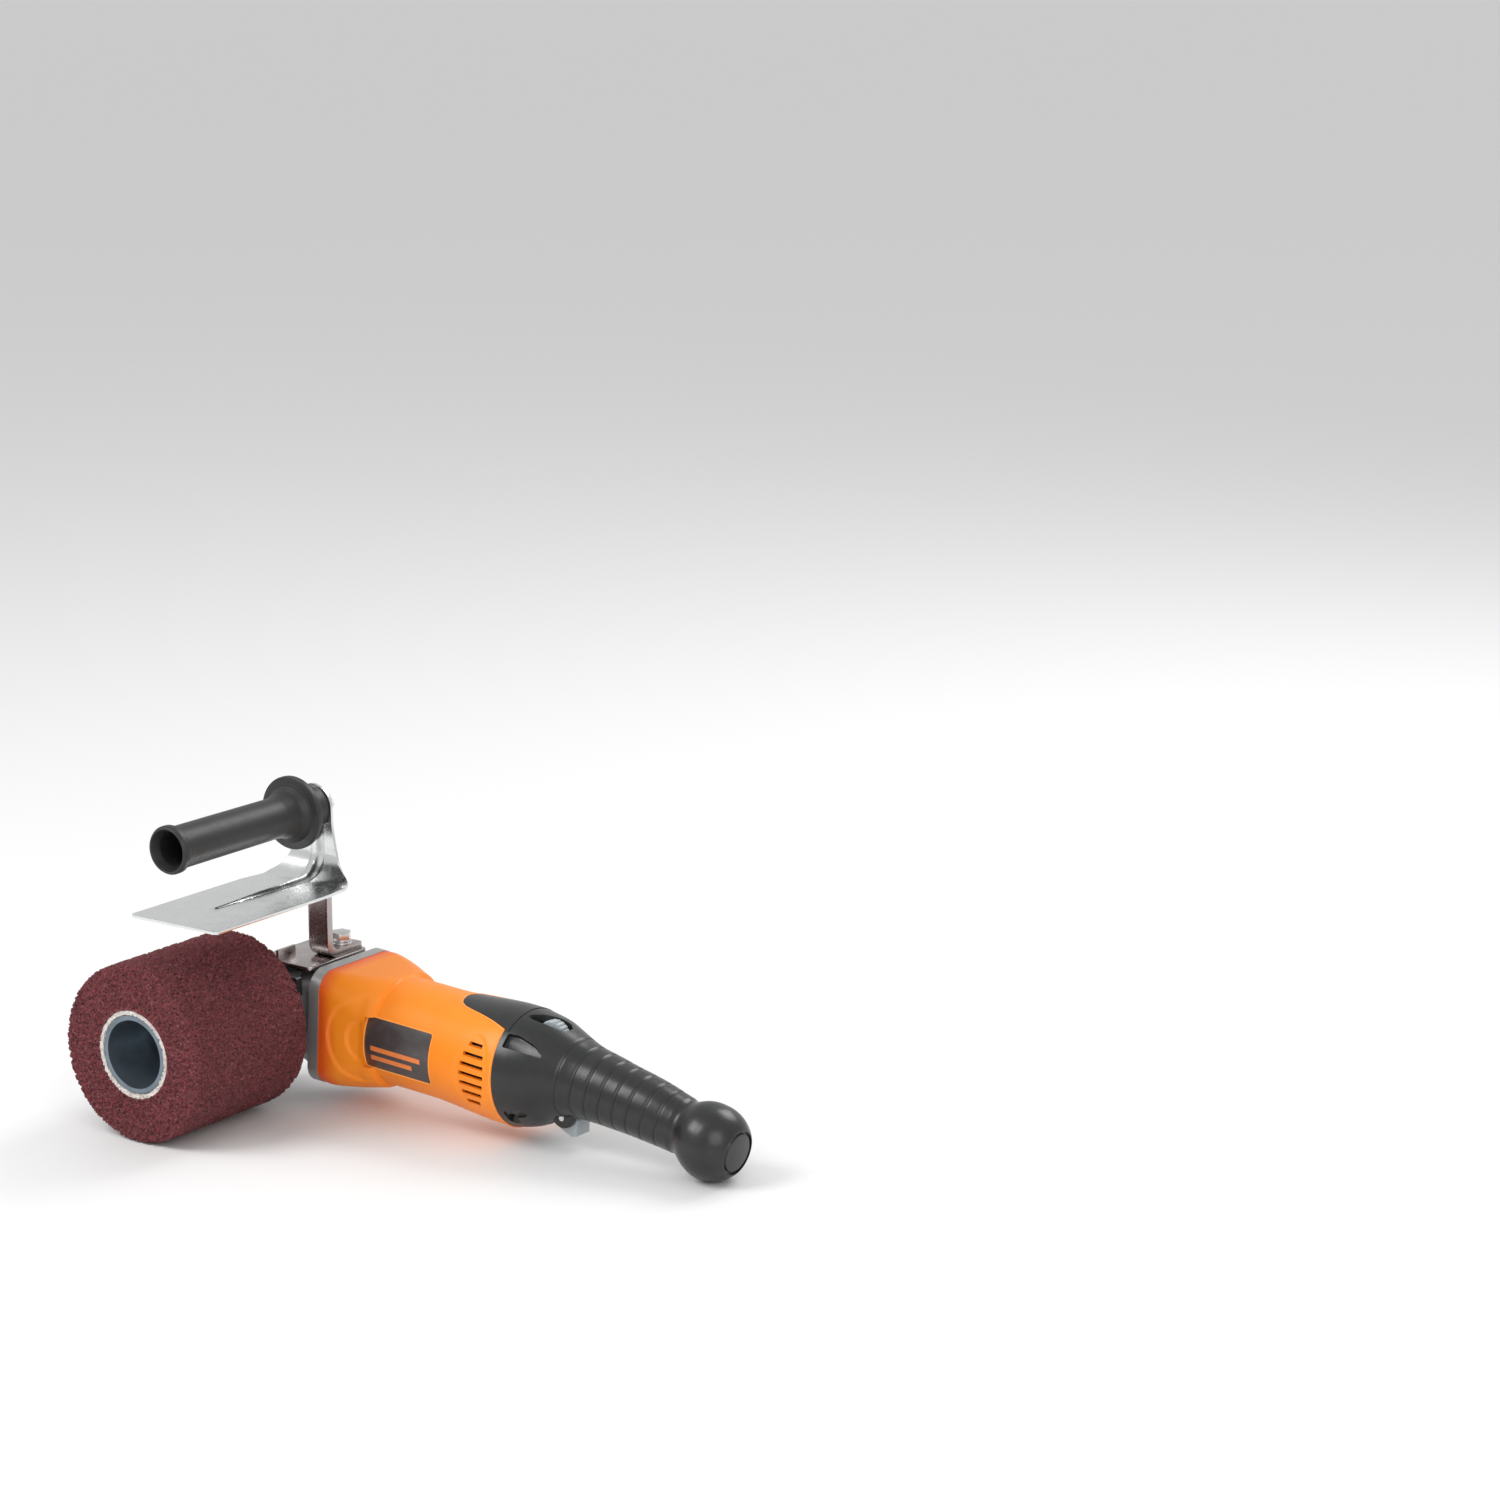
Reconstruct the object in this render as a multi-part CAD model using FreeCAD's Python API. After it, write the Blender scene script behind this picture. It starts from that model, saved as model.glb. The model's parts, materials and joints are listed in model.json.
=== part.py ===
"""Drum-type angle grinder: a motor body lying along X that drives an abrasive drum on a cross spindle.

Working frame: the spindle axis runs along Y through x = 0, the motor axis lies in the plane y = 0 and
the floor is z = 0, with the tool resting on its drum and on the ball at the end of its grip.
The finished solids are moved so that the origin is on the floor under the middle of the whole tool.
"""
import FreeCAD, Part
import math
import os

os.makedirs("parts", exist_ok=True)

Vec = FreeCAD.Vector
X_DIR = Vec(1, 0, 0)
Y_DIR = Vec(0, 1, 0)
Z_DIR = Vec(0, 0, 1)

# ---- driving dimensions, in mm ----
FIT = 0.05            # radial clearance of a running or seated fit
EASE = 0.5            # clearance round parts that must not touch

DRUM_R = 57.5
DRUM_OUT = -150.0     # outer end of the drum
DRUM_IN = -50.0       # end next to the gear head
DRUM_ROUND = 2.5
TUBE_RO = 25.0
TUBE_RI = 22.0
GLUE_RO = 28.5
GLUE_T = 2.5
HUB_OUT = -104.0

SPINDLE_Z = DRUM_R
SPINDLE_DRUM_R = 9.5
SPINDLE_NOSE_R = 8.5
SPINDLE_R = 7.5
SPINDLE_TAIL_R = 5.0
COLLAR_R = 16.0
COLLAR_T = 6.0
TAIL_END = 31.0

TILT = 3.4            # droop of the motor axis towards the grip, degrees
HEAD_R = 32.5
HEAD_IN = -26.0
HEAD_OUT = 36.0
COVER_FACE = -33.5
HANDLE_HOLE_X = -15.0
CAVITY_R = 28.8
RIM_HALF = 38.0
RIM_CORNER = 13.0
RIM_FRONT = 46.0
RIM_BACK = 54.0
SCREW_OFFSET = 30.5   # motor housing screws, from the motor axis along Y and Z

PINION_SEAT_R = 2.9
CROWN_TEETH = 36
PINION_TEETH = 9
MODULE = 1.5
FACE = 7.0            # tooth length along the pitch cone

SEAM = 194.0          # joint between the motor housing and the grip housing
MOTOR_BORE = 31.8
WALL = 2.6
BALL_X = 334.6
BALL_R = 24.0
BALL_END = 20.5       # flat end of the ball, behind its centre
GRIP_TILT = 10.0

BAR_X = 34.5          # handle bracket, bracket bolt and handle share this X
BAR_W = 16.0
BAR_T = 5.0
BAR_FACE = -13.0      # side of the upright bar that faces the drum
PLATE_TOP = 93.0
PLATE_T = 3.0
HANDLE_Z = 193.7
HANDLE_OUT = -150.0
FOOT_END = 20.0
BRACKET_BOLT_Y = 9.0

SHEET_T = 2.0
SHEET_Z = 149.0       # top of the guard's level leg
SHEET_LEFT = 31.5     # reach of the guard from the bracket's middle, away from the grip and towards it
SHEET_RIGHT = 39.5
SHEET_EDGE = -151.0
SHEET_BEND = 18.8     # outer bend radius
SHEET_LEG_HALF = 15.0
BAR_BEND = 9.5

TRIGGER_X = 228.0
TRIGGER_Z = 22.0
TRIGGER_HALF = 7.0
TRIGGER_PIN_R = 2.0
PLUNGER_X = 233.5
DIAL_X = 214.5
DIAL_Z = 69.5
DIAL_R = 10.5
DIAL_HALF = 3.5       # half the dial's thickness
DIAL_NOTCHES = 24

LOCK_REACH = 20.5     # shaft lock pin, from the spindle axis
LOCK_ANGLE = 45 - TILT
LOCK_X = LOCK_REACH * math.cos(math.radians(LOCK_ANGLE))
LOCK_Z = SPINDLE_Z + LOCK_REACH * math.sin(math.radians(LOCK_ANGLE))
LOCK_PIN_R = 2.5

SCREW_R = 2.0         # M4 screws of the motor housing, bearing cover and grip shells
SCREW_HOLE_R = 2.1
SCREW_HEAD_R = 3.5
SCREW_SEAT_R = 3.8
# grip shell screws: x, z, half width of the shell there and the side the head is on
SHELL_SCREWS = [(202, 20.5, 25.0, -1), (262, 41, 21.2, 1), (330.6, 27, 23.4, 1)]

# stations of the grip housing: x, radius and height of the centre of each round section
GRIP_STATIONS = [
    (SEAM, 38.0, 46.0), (204, 36.4, 46.6), (214, 33.5, 47.0), (222, 29.8, 46.8), (231, 26.2, 46.0),
    (241, 23.5, 44.7), (255, 22.1, 42.6), (268, 21.0, 40.2), (281, 20.2, 37.9), (294, 19.4, 35.1),
    (307, 18.3, 31.9), (313, 18.0, 30.3), (319, 19.4, 28.4), (328, 21.8, 25.6),
]
# outside of the round part of the motor housing: distance along the motor axis and radius
MOTOR_PROFILE = [(90, 35.1), (134, 35.1), (146, 35.7), (158, 36.6), (170, 37.6), (183, 38.3), (SEAM + 3, 38.1)]

# half lengths of the cooling slots, from the middle one outwards
VENT_REACH = (8.5, 8.0, 6.6, 4.0)
VENT_X = 176.0
VENT_PITCH = 6.2
VENT_HALF = 1.1

# middle of the whole tool in plan, from its outermost faces
FAR_SIDE = max(radius for _, radius in MOTOR_PROFILE)
END_RIM_R = math.sqrt(BALL_R ** 2 - BALL_END ** 2)
END_REACH = BALL_END * math.cos(math.radians(GRIP_TILT)) + END_RIM_R * math.sin(math.radians(GRIP_TILT))
ORIGIN_X = (BALL_X + END_REACH - DRUM_R) / 2
ORIGIN_Y = (SHEET_EDGE + FAR_SIDE) / 2

parts = {}


# ---- helpers ----
def rod_y(radius, y0, y1, x=0.0, z=SPINDLE_Z):
    """Cylinder along Y between two stations."""
    return Part.makeCylinder(radius, y1 - y0, Vec(x, y0, z), Y_DIR)


def ring_y(outer, inner, y0, y1, x=0.0, z=SPINDLE_Z):
    return rod_y(outer, y0, y1, x, z).cut(rod_y(inner, y0 - 1, y1 + 1, x, z))


def rod_x(radius, x0, x1, y=0.0, z=0.0):
    """Cylinder along X between two stations, for use in the motor frame."""
    return Part.makeCylinder(radius, x1 - x0, Vec(x0, y, z), X_DIR)


def ring_x(outer, inner, x0, x1, y=0.0, z=0.0):
    return rod_x(outer, x0, x1, y, z).cut(rod_x(inner, x0 - 1, x1 + 1, y, z))


def block(x0, x1, y0, y1, z0, z1):
    return Part.makeBox(x1 - x0, y1 - y0, z1 - z0, Vec(x0, y0, z0))


def fuse_all(shapes):
    """One clean solid out of overlapping ones."""
    whole = shapes[0].multiFuse(shapes[1:]) if len(shapes) > 1 else shapes[0]
    return whole.removeSplitter()


def cut_all(shape, tools):
    for tool in tools:
        shape = shape.cut(tool)
    return shape


def on_motor(shape):
    """Moves a shape from the motor frame, whose X is the motor axis, to its place in the tool."""
    placed = shape.copy()
    placed.rotate(Vec(0, 0, 0), Y_DIR, TILT)
    placed.translate(Vec(0, 0, SPINDLE_Z))
    return placed


def revolve_x(points):
    """Turns a closed outline of (x, radius) points about the X axis."""
    wire = Part.makePolygon([Vec(x, r, 0) for x, r in points + points[:1]])
    return Part.Face(wire).revolve(Vec(0, 0, 0), X_DIR, 360)


def rounded_square(half, corner, x):
    """Square wire with round corners in the plane at x of the motor frame."""
    flat = half - corner
    edges = []
    for turn in range(4):
        angle = math.radians(90 * turn)

        def at(y, z):
            return Vec(x, y * math.cos(angle) - z * math.sin(angle), y * math.sin(angle) + z * math.cos(angle))

        bulge = corner * math.sqrt(0.5)
        edges.append(Part.makeLine(at(half, -flat), at(half, flat)))
        edges.append(Part.Arc(at(half, flat), at(flat + bulge, flat + bulge), at(flat, half)).toShape())
    return Part.Wire(edges)


def square_loft(sections):
    """Solid through rounded squares given as (x, half side, corner radius)."""
    return Part.makeLoft([rounded_square(half, corner, x) for x, half, corner in sections], True, True)


def diagonal(offset):
    """The four corner positions at one offset along both axes."""
    return [(sy * offset, sz * offset) for sy in (-1, 1) for sz in (-1, 1)]


def hexagon(across, height, centre, axis):
    """Hexagonal prism, for bolt heads and nuts."""
    radius = across / math.sqrt(3)
    points = [Vec(radius * math.cos(math.radians(60 * k)), radius * math.sin(math.radians(60 * k)), 0)
              for k in range(7)]
    prism = Part.Face(Part.makePolygon(points)).extrude(Vec(0, 0, height))
    prism.Placement = FreeCAD.Placement(centre, FreeCAD.Rotation(Z_DIR, axis))
    return prism


def ball_bearing(inner_r, outer_r, ball_r, count, start, width, ring):
    """Inner ring, outer ring and balls of a bearing. ring makes a tube and start is its first face."""
    pitch = (inner_r + outer_r) / 2
    land = 0.55 * ball_r
    middle = start + width / 2
    along_x = ring is ring_x
    centre = Vec(middle, 0, 0) if along_x else Vec(0, middle, SPINDLE_Z)
    axis = X_DIR if along_x else Y_DIR
    groove = Part.makeTorus(pitch, ball_r + FIT, centre, axis)
    inner = ring(pitch - land, inner_r, start, start + width).cut(groove)
    outer = ring(outer_r, pitch + land, start, start + width).cut(groove)
    balls = []
    for k in range(count):
        angle = 2 * math.pi * (k + 0.5) / count
        u, v = pitch * math.cos(angle), pitch * math.sin(angle)
        offset = Vec(0, u, v) if along_x else Vec(u, 0, v)
        balls.append(Part.makeSphere(ball_r, centre + offset))
    return inner, outer, Part.makeCompound(balls)


# ---- bevel gears ----
def bevel_gear(teeth, mate_teeth, thin, start_angle, bore, back):
    """Straight bevel gear about +X with its cone apex at the origin.

    thin is the part of the nominal tooth thickness that is kept. start_angle turns the first tooth.
    back is the length of the hub behind the teeth, away from the apex.
    """
    pitch_angle = math.atan2(teeth, mate_teeth)
    pitch_r = MODULE * teeth / 2
    cone = pitch_r / math.sin(pitch_angle)
    inner_scale = (cone - FACE) / cone
    addendum, dedendum = 0.8 * MODULE, 1.15 * MODULE
    half = thin * math.pi * MODULE / 4
    lean = math.tan(math.radians(22))

    def at(out, side, scale):
        """Point at a height above the pitch cone and a sideways offset, on the back cone."""
        along = (cone * math.cos(pitch_angle) - out * math.sin(pitch_angle)) * scale
        radius = (pitch_r + out * math.cos(pitch_angle)) * scale
        return along, radius, side * scale

    root_x, root_r, _ = at(-dedendum, 0, 1)
    toe_x, toe_r, _ = at(-dedendum, 0, inner_scale)
    outline = [(toe_x, bore), (toe_x, toe_r), (root_x, root_r), (root_x + back, root_r), (root_x + back, bore)]
    if toe_x > root_x + back:
        raise ValueError("the gear's back is inside its teeth")
    body = revolve_x(outline)
    solids = [body]
    for k in range(teeth):
        angle = start_angle + 2 * math.pi * k / teeth
        wires = []
        for scale in (inner_scale, 1.0):
            corners = []
            for out, side in ((-dedendum - 0.3, half + dedendum * lean), (addendum, half - addendum * lean)):
                for sign in ((-1, 1) if out < 0 else (1, -1)):
                    along, radius, offset = at(out, sign * side, scale)
                    corners.append(Vec(along, radius * math.cos(angle) - offset * math.sin(angle),
                                       radius * math.sin(angle) + offset * math.cos(angle)))
            wires.append(Part.makePolygon(corners + corners[:1]))
        solids.append(Part.makeLoft(wires, True, True))
    return fuse_all(solids)


# ---- drum and spindle ----
def drum():
    """The abrasive drum with its tube, hub and glue rings, held on the spindle by a key and a screw."""
    fleece = rod_y(DRUM_R, DRUM_OUT, DRUM_IN)
    rims = [edge for edge in fleece.Edges if edge.Closed and abs(edge.BoundBox.YLength) < 0.01]
    fleece = fleece.makeFillet(DRUM_ROUND, rims)
    fleece = fleece.cut(rod_y(TUBE_RO + FIT, DRUM_OUT - 1, DRUM_IN + 1))
    recess = GLUE_T + FIT
    fleece = fleece.cut(rod_y(GLUE_RO + FIT, DRUM_OUT - 1, DRUM_OUT + recess))
    fleece = fleece.cut(rod_y(GLUE_RO + FIT, DRUM_IN - recess, DRUM_IN + 1))
    parts["drum_fleece"] = fleece
    parts["drum_tube"] = ring_y(TUBE_RO, TUBE_RI, DRUM_OUT + 1, DRUM_IN - 1)
    parts["glue_rings"] = Part.makeCompound([
        ring_y(GLUE_RO, TUBE_RO + FIT, DRUM_OUT, DRUM_OUT + GLUE_T),
        ring_y(GLUE_RO, TUBE_RO + FIT, DRUM_IN - GLUE_T, DRUM_IN)])
    keyway = block(-3.05, 3.05, HUB_OUT - 1, DRUM_IN, SPINDLE_Z, SPINDLE_Z + 12.1)
    parts["drum_hub"] = ring_y(TUBE_RI - FIT, SPINDLE_DRUM_R + FIT, HUB_OUT, DRUM_IN).cut(keyway)
    parts["drum_key"] = block(-3, 3, -92, -60, SPINDLE_Z + 6.5, SPINDLE_Z + 12)


def spindle():
    shaft = fuse_all([
        rod_y(SPINDLE_DRUM_R, HUB_OUT, DRUM_IN),
        rod_y(COLLAR_R, DRUM_IN, DRUM_IN + COLLAR_T),
        rod_y(SPINDLE_NOSE_R, DRUM_IN + COLLAR_T, -33),
        rod_y(SPINDLE_R, -33, 12.5),
        rod_y(SPINDLE_TAIL_R, 12.5, TAIL_END)])
    parts["drum_spindle"] = cut_all(shaft, [
        block(-3.05, 3.05, -92.05, -59.95, SPINDLE_Z + 6.45, SPINDLE_Z + 20),
        block(-2.05, 2.05, -18.05, -9.95, SPINDLE_Z + 5.45, SPINDLE_Z + 20),
        rod_y(4.05, HUB_OUT - 1, HUB_OUT + 22)])
    parts["gear_key"] = block(-2, 2, -18, -10, SPINDLE_Z + 5.5, SPINDLE_Z + 9.3)
    washer_out = HUB_OUT - 3
    parts["clamp_washer"] = ring_y(COLLAR_R, 4.3, washer_out, HUB_OUT)
    parts["spindle_screw"] = fuse_all([
        hexagon(13, 5.3, Vec(0, washer_out, SPINDLE_Z), Vec(0, -1, 0)),
        rod_y(4.0, washer_out - 1, HUB_OUT + 18)])


def gears():
    """Crown gear on the spindle and the pinion that drives it, meshing on the drum's side."""
    crown = bevel_gear(CROWN_TEETH, PINION_TEETH, 0.8, math.pi / CROWN_TEETH, SPINDLE_R + FIT, 12.5)
    lock_holes = [rod_x(3.2, 0, 40, 20.5 * math.cos(a), 20.5 * math.sin(a))
                  for a in (math.radians(45 + 90 * k) for k in range(4))]
    relief = ring_x(40, 13, 16.6, 40)
    crown = cut_all(crown, lock_holes + [relief])
    crown.rotate(Vec(0, 0, 0), Z_DIR, -90)
    crown.rotate(Vec(0, 0, 0), Y_DIR, TILT)
    crown.translate(Vec(0, 0, SPINDLE_Z))
    crown = crown.cut(block(-2.05, 2.05, -18.05, -5, SPINDLE_Z, SPINDLE_Z + 9.4))
    parts["crown_gear"] = crown
    pinion = bevel_gear(PINION_TEETH, CROWN_TEETH, 0.8, math.pi, PINION_SEAT_R + FIT, 1.2)
    parts["pinion"] = on_motor(pinion)


# ---- gear head ----
def lugs(radius, y0, y1):
    offset = 22.6
    return [rod_y(radius, y0, y1, x, SPINDLE_Z + z) for x, z in diagonal(offset)]


def gear_head():
    """Cast gear case, its bearing cover and screws, and the bush for the spindle's tail."""
    far = Part.makeCone(HEAD_R, 24, HEAD_OUT - 14, Vec(0, 14, SPINDLE_Z), Y_DIR)
    neck = on_motor(square_loft([(14, 25, 10), (RIM_FRONT + 1, 33.5, 12)]))
    rim = on_motor(square_loft([(RIM_FRONT, RIM_HALF, RIM_CORNER), (RIM_BACK, RIM_HALF, RIM_CORNER)]))
    pad = block(BAR_X - 26, BAR_X + 8, -18, 22, 70, PLATE_TOP - PLATE_T)
    case = fuse_all([rod_y(HEAD_R, HEAD_IN, 14), far, neck, rim, pad] + lugs(5.0, HEAD_IN, -8))
    tail_bosses = rod_y(11, 0, HEAD_OUT).fuse(rod_y(7, 20, HEAD_OUT, HANDLE_HOLE_X))
    bores = lugs(5.6, -60, HEAD_IN) + [
        rod_y(HEAD_R + EASE, -60, HEAD_IN),
        rod_y(CAVITY_R, HEAD_IN - 1, 13),
        rod_y(7 + FIT, 12, TAIL_END + 1),
        Part.makeCone(CAVITY_R - 1, 20, HEAD_OUT - 18, Vec(0, 13, SPINDLE_Z), Y_DIR).cut(tail_bosses),
        on_motor(square_loft([(20, 21.5, 6), (39, 27.5, 8)])),
        on_motor(rod_x(13.5, 14, 41)),
        on_motor(rod_x(16 + FIT, 40, 51)),
        on_motor(ring_x(29.5, 19.5, 44, RIM_BACK + 1)),
        on_motor(rod_x(29.5, 51, RIM_BACK + 1)),
        rod_y(3.4, HEAD_OUT - 14, HEAD_OUT + 1, HANDLE_HOLE_X),
        Part.makeCylinder(3.45, 22, Vec(BAR_X, BRACKET_BOLT_Y, 70), Z_DIR)]
    bores += [on_motor(rod_x(2.05, RIM_FRONT - 4, RIM_BACK + 1, y, z)) for y, z in diagonal(SCREW_OFFSET)]
    parts["gear_case"] = cut_all(case, bores + lugs(2.05, HEAD_IN - 1, -10))

    cover = fuse_all([rod_y(HEAD_R, COVER_FACE, HEAD_IN), rod_y(15, -41, COVER_FACE + 1),
                      rod_y(CAVITY_R - FIT, HEAD_IN - 1, -20.6)] + lugs(5.0, COVER_FACE, HEAD_IN))
    parts["bearing_cover"] = cut_all(cover, [
        rod_y(17.5 + FIT, -32, -20), rod_y(12.5, -38, -31), rod_y(SPINDLE_NOSE_R + EASE, -42, -37),
        rod_y(2.8, -42, -20, LOCK_X, LOCK_Z)] + lugs(2.15, COVER_FACE - 1, HEAD_IN + 1)
        + lugs(3.7, COVER_FACE - 1, COVER_FACE + 3))
    parts["felt_seal"] = ring_y(12.4, SPINDLE_NOSE_R + 0.35, -37.9, -32.1)
    screws = [fuse_all([rod_y(3.5, COVER_FACE, COVER_FACE + 3, x, SPINDLE_Z + z),
                        rod_y(2.0, COVER_FACE + 2, -12, x, SPINDLE_Z + z)])
              for x, z in diagonal(22.6)]
    parts["cover_screws"] = Part.makeCompound(screws)
    parts["tail_bush"] = ring_y(7, SPINDLE_TAIL_R + FIT, 16.5, TAIL_END)
    inner, outer, balls = ball_bearing(SPINDLE_R + FIT, 17.5, 3.0, 8, -32, 11, ring_y)
    parts["spindle_bearing_inner"] = inner
    parts["spindle_bearing_outer"] = outer
    parts["spindle_bearing_balls"] = balls


def shaft_lock():
    """Push button whose pin drops into a hole in the back of the crown gear."""
    head = block(LOCK_X - 4, 42, -43.5, -38.5, LOCK_Z - 2.6, 88)
    head = head.cut(block(25.5, 50, -50, -30, 60, 75))
    long_edges = [e for e in head.Edges if e.BoundBox.YLength > 4.5]
    head = head.makeFillet(1.5, long_edges)
    parts["lock_button"] = fuse_all([head, rod_y(LOCK_PIN_R, -39, -18, LOCK_X, LOCK_Z)])
    parts["lock_spring"] = ring_y(3.9, 3.1, -38.4, -33.6, LOCK_X, LOCK_Z)


# ---- motor ----
def motor():
    """Armature with its shaft, core, commutator and fan, and the field and brushes round it."""
    shaft = fuse_all([rod_x(PINION_SEAT_R, 15, 29), rod_x(6, 28.7, 141), rod_x(4, 141, 151)])
    parts["armature_shaft"] = on_motor(shaft)
    core = ring_x(18, 6 + FIT, 74, 116)
    slots = []
    for k in range(12):
        slot = block(73, 117, -1.1, 1.1, 10, 20)
        slot.rotate(Vec(0, 0, 0), X_DIR, 30 * k)
        slots.append(slot)
    parts["armature_core"] = on_motor(cut_all(core, slots))
    parts["armature_windings"] = on_motor(Part.makeCompound([
        revolve_x([(x0, 6.05), (x0, 12), (x0 + step, 15.5), (x1 - step, 15.5), (x1, 12), (x1, 6.05)])
        for x0, x1, step in ((68.5, 73.9, 2.0), (116.1, 124, 2.5))]))
    commutator = ring_x(11, 6 + FIT, 127, 141)
    gaps = []
    for k in range(24):
        gap = block(128.5, 142, -0.25, 0.25, 9.8, 12)
        gap.rotate(Vec(0, 0, 0), X_DIR, 15 * k)
        gaps.append(gap)
    parts["commutator"] = on_motor(cut_all(commutator, gaps))
    hub = ring_x(11, 6 + FIT, 54.5, 66)
    plate = ring_x(28, 10, 64, 66)
    blades = []
    for k in range(9):
        blade = block(55.5, 64.5, 10, 27.5, -0.9, 0.9)
        blade.rotate(Vec(0, 0, 0), X_DIR, 40 * k)
        blades.append(blade)
    parts["cooling_fan"] = on_motor(fuse_all([hub, plate] + blades))
    parts["pinion_nut"] = on_motor(hexagon(9, 4.2, Vec(16, 0, 0), X_DIR).cut(rod_x(PINION_SEAT_R + FIT, 9, 28)))

    front = ball_bearing(6 + FIT, 16.0, 2.9, 8, 40, 10, ring_x)
    rear = ball_bearing(4 + FIT, 11.0, 1.95, 7, 143.5, 7, ring_x)
    for piece, pair in zip(("inners", "outers", "balls"), zip(front, rear)):
        solids = [solid for shape in pair for solid in shape.Solids]
        parts["armature_bearing_" + piece] = on_motor(Part.makeCompound(solids))

    parts["fan_baffle"] = on_motor(ring_x(MOTOR_BORE - FIT, 20, 67, 68.4))
    field = ring_x(31, 18.6, 74, 116)
    for side in (-1, 1):
        field = field.cut(block(73, 117, -26 if side < 0 else 12, -12 if side < 0 else 26, -17, 17))
    parts["field_core"] = on_motor(field)
    coils = []
    for side in (-1, 1):
        y0, y1 = sorted((side * 19.6, side * 25.5))
        coil = block(70, 121, y0, y1, -12, 12).cut(block(77, 114, y0 - 1, y1 + 1, -6, 6))
        coils.append(coil)
    parts["field_coils"] = on_motor(Part.makeCompound(coils))
    brushes, holders, springs = [], [], []
    for side in (-1, 1):
        y0, y1 = sorted((side * 9.0, side * 22.0))
        brush = block(131, 138, y0, y1, -3, 3).cut(rod_x(11 + FIT, 130, 140))
        brushes.append(brush)
        y0, y1 = sorted((side * 13.0, side * 30.5))
        box = block(129.5, 139.5, y0, y1, -4.5, 4.5)
        y2, y3 = sorted((side * 12.0, side * 29.5))
        holders.append(box.cut(block(130.9, 138.1, y2, y3, -3.1, 3.1)))
        y0, y1 = sorted((side * 22.2, side * 29.3))
        springs.append(ring_y(2.6, 1.8, y0, y1, 134.5, 0))
    parts["carbon_brushes"] = on_motor(Part.makeCompound(brushes))
    parts["brush_holders"] = on_motor(Part.makeCompound(holders))
    parts["brush_springs"] = on_motor(Part.makeCompound(springs))


def tongue(margin, top_gap, bed_gap):
    """Strip of the grip housing that reaches forward over the top of the motor housing.

    margin widens its outline, top_gap is added to its outer radius and bed_gap is taken off its inner one.
    """
    stations = [(150, 7.0), (156, 12.5), (SEAM + 2, 23.5)]
    outline = [Vec(x - margin, y + margin, 0) for x, y in stations]
    mirrored = [Vec(p.x, -p.y, 0) for p in reversed(outline)]
    nose = Part.Arc(mirrored[-1], Vec(145.5 - margin, 0, 0), outline[0]).toShape()
    edges = [nose] + [Part.makeLine(a, b) for a, b in zip(outline + mirrored, (outline + mirrored)[1:])]
    prism = Part.Face(Part.Wire(Part.__sortEdges__(edges))).extrude(Vec(0, 0, 60))
    back = SEAM + margin
    skin = [(140, 35.4)] + MOTOR_PROFILE[2:-1] + [(back, 38.3)]
    bed = [(139, 35.3)] + MOTOR_PROFILE[2:-1] + [(back + 1, 38.2)]
    shell = revolve_x([(140, 20)] + [(x, r + top_gap) for x, r in skin] + [(back, 20)])
    core = revolve_x([(139, 0)] + [(x, r - 2.2 - bed_gap) for x, r in bed] + [(back + 1, 0)])
    return on_motor(prism.common(shell).cut(core))


def motor_housing():
    """Orange housing: four screw corners at the gear head run out into a round barrel."""
    corners = square_loft([(RIM_BACK, 37.6, RIM_CORNER), (62, 37.4, 16), (78, 36.4, 25), (98, 35.1, 34.6)])
    barrel = revolve_x([(MOTOR_PROFILE[0][0], 0)] + MOTOR_PROFILE + [(MOTOR_PROFILE[-1][0], 0)])
    shell = corners.fuse(barrel)
    shell = shell.cut(rod_x(MOTOR_BORE, RIM_BACK - 1, 142))
    shell = shell.cut(revolve_x([(153, 0), (153, 32), (170, 34.6), (SEAM + 4, 35.5), (SEAM + 4, 0)]))
    shell = shell.cut(rod_x(11 + FIT, 141, 151))
    shell = shell.cut(rod_x(7, 150, 154))
    windows = []
    for k in range(6):
        window = ring_x(29.5, 15, 141, 154).common(block(141, 154, 14, 30, -7.5, 7.5))
        window.rotate(Vec(0, 0, 0), X_DIR, 60 * k + 30)
        windows.append(window)
    shell = cut_all(shell, windows)
    screws = []
    for y, z in diagonal(SCREW_OFFSET):
        shell = cut_all(shell, [rod_x(2.2, RIM_BACK - 1, 70, y, z), rod_x(4.2, 64, 100, y, z)])
        screws.append(fuse_all([rod_x(SCREW_R, RIM_FRONT - 2, 64, y, z), rod_x(3.6, 64, 67, y, z)]))
    for k in range(7):
        level = VENT_PITCH * (3 - k)
        reach = VENT_REACH[abs(k - 3)]
        for side in (-1, 1):
            y0, y1 = sorted((side * 25.0, side * 45.0))
            shell = shell.cut(block(VENT_X - reach, VENT_X + reach, y0, y1, level - VENT_HALF, level + VENT_HALF))
    shell = shell.cut(ring_x(37, 34.2, 89.8, 142.2).common(block(80, 150, -40, -20, -16.2, 16.7)))
    shell = cut_all(on_motor(shell), [tongue(0.15, 2, 0.15), block(SEAM, 300, -60, 60, -10, 120)])
    parts["motor_housing"] = shell.removeSplitter()
    badge = ring_x(35.2, 34.25, 90, 142).common(block(80, 150, -40, -20, -16, 16.5))
    parts["badge_plate"] = on_motor(badge)
    parts["motor_screws"] = on_motor(Part.makeCompound(screws))


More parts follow.
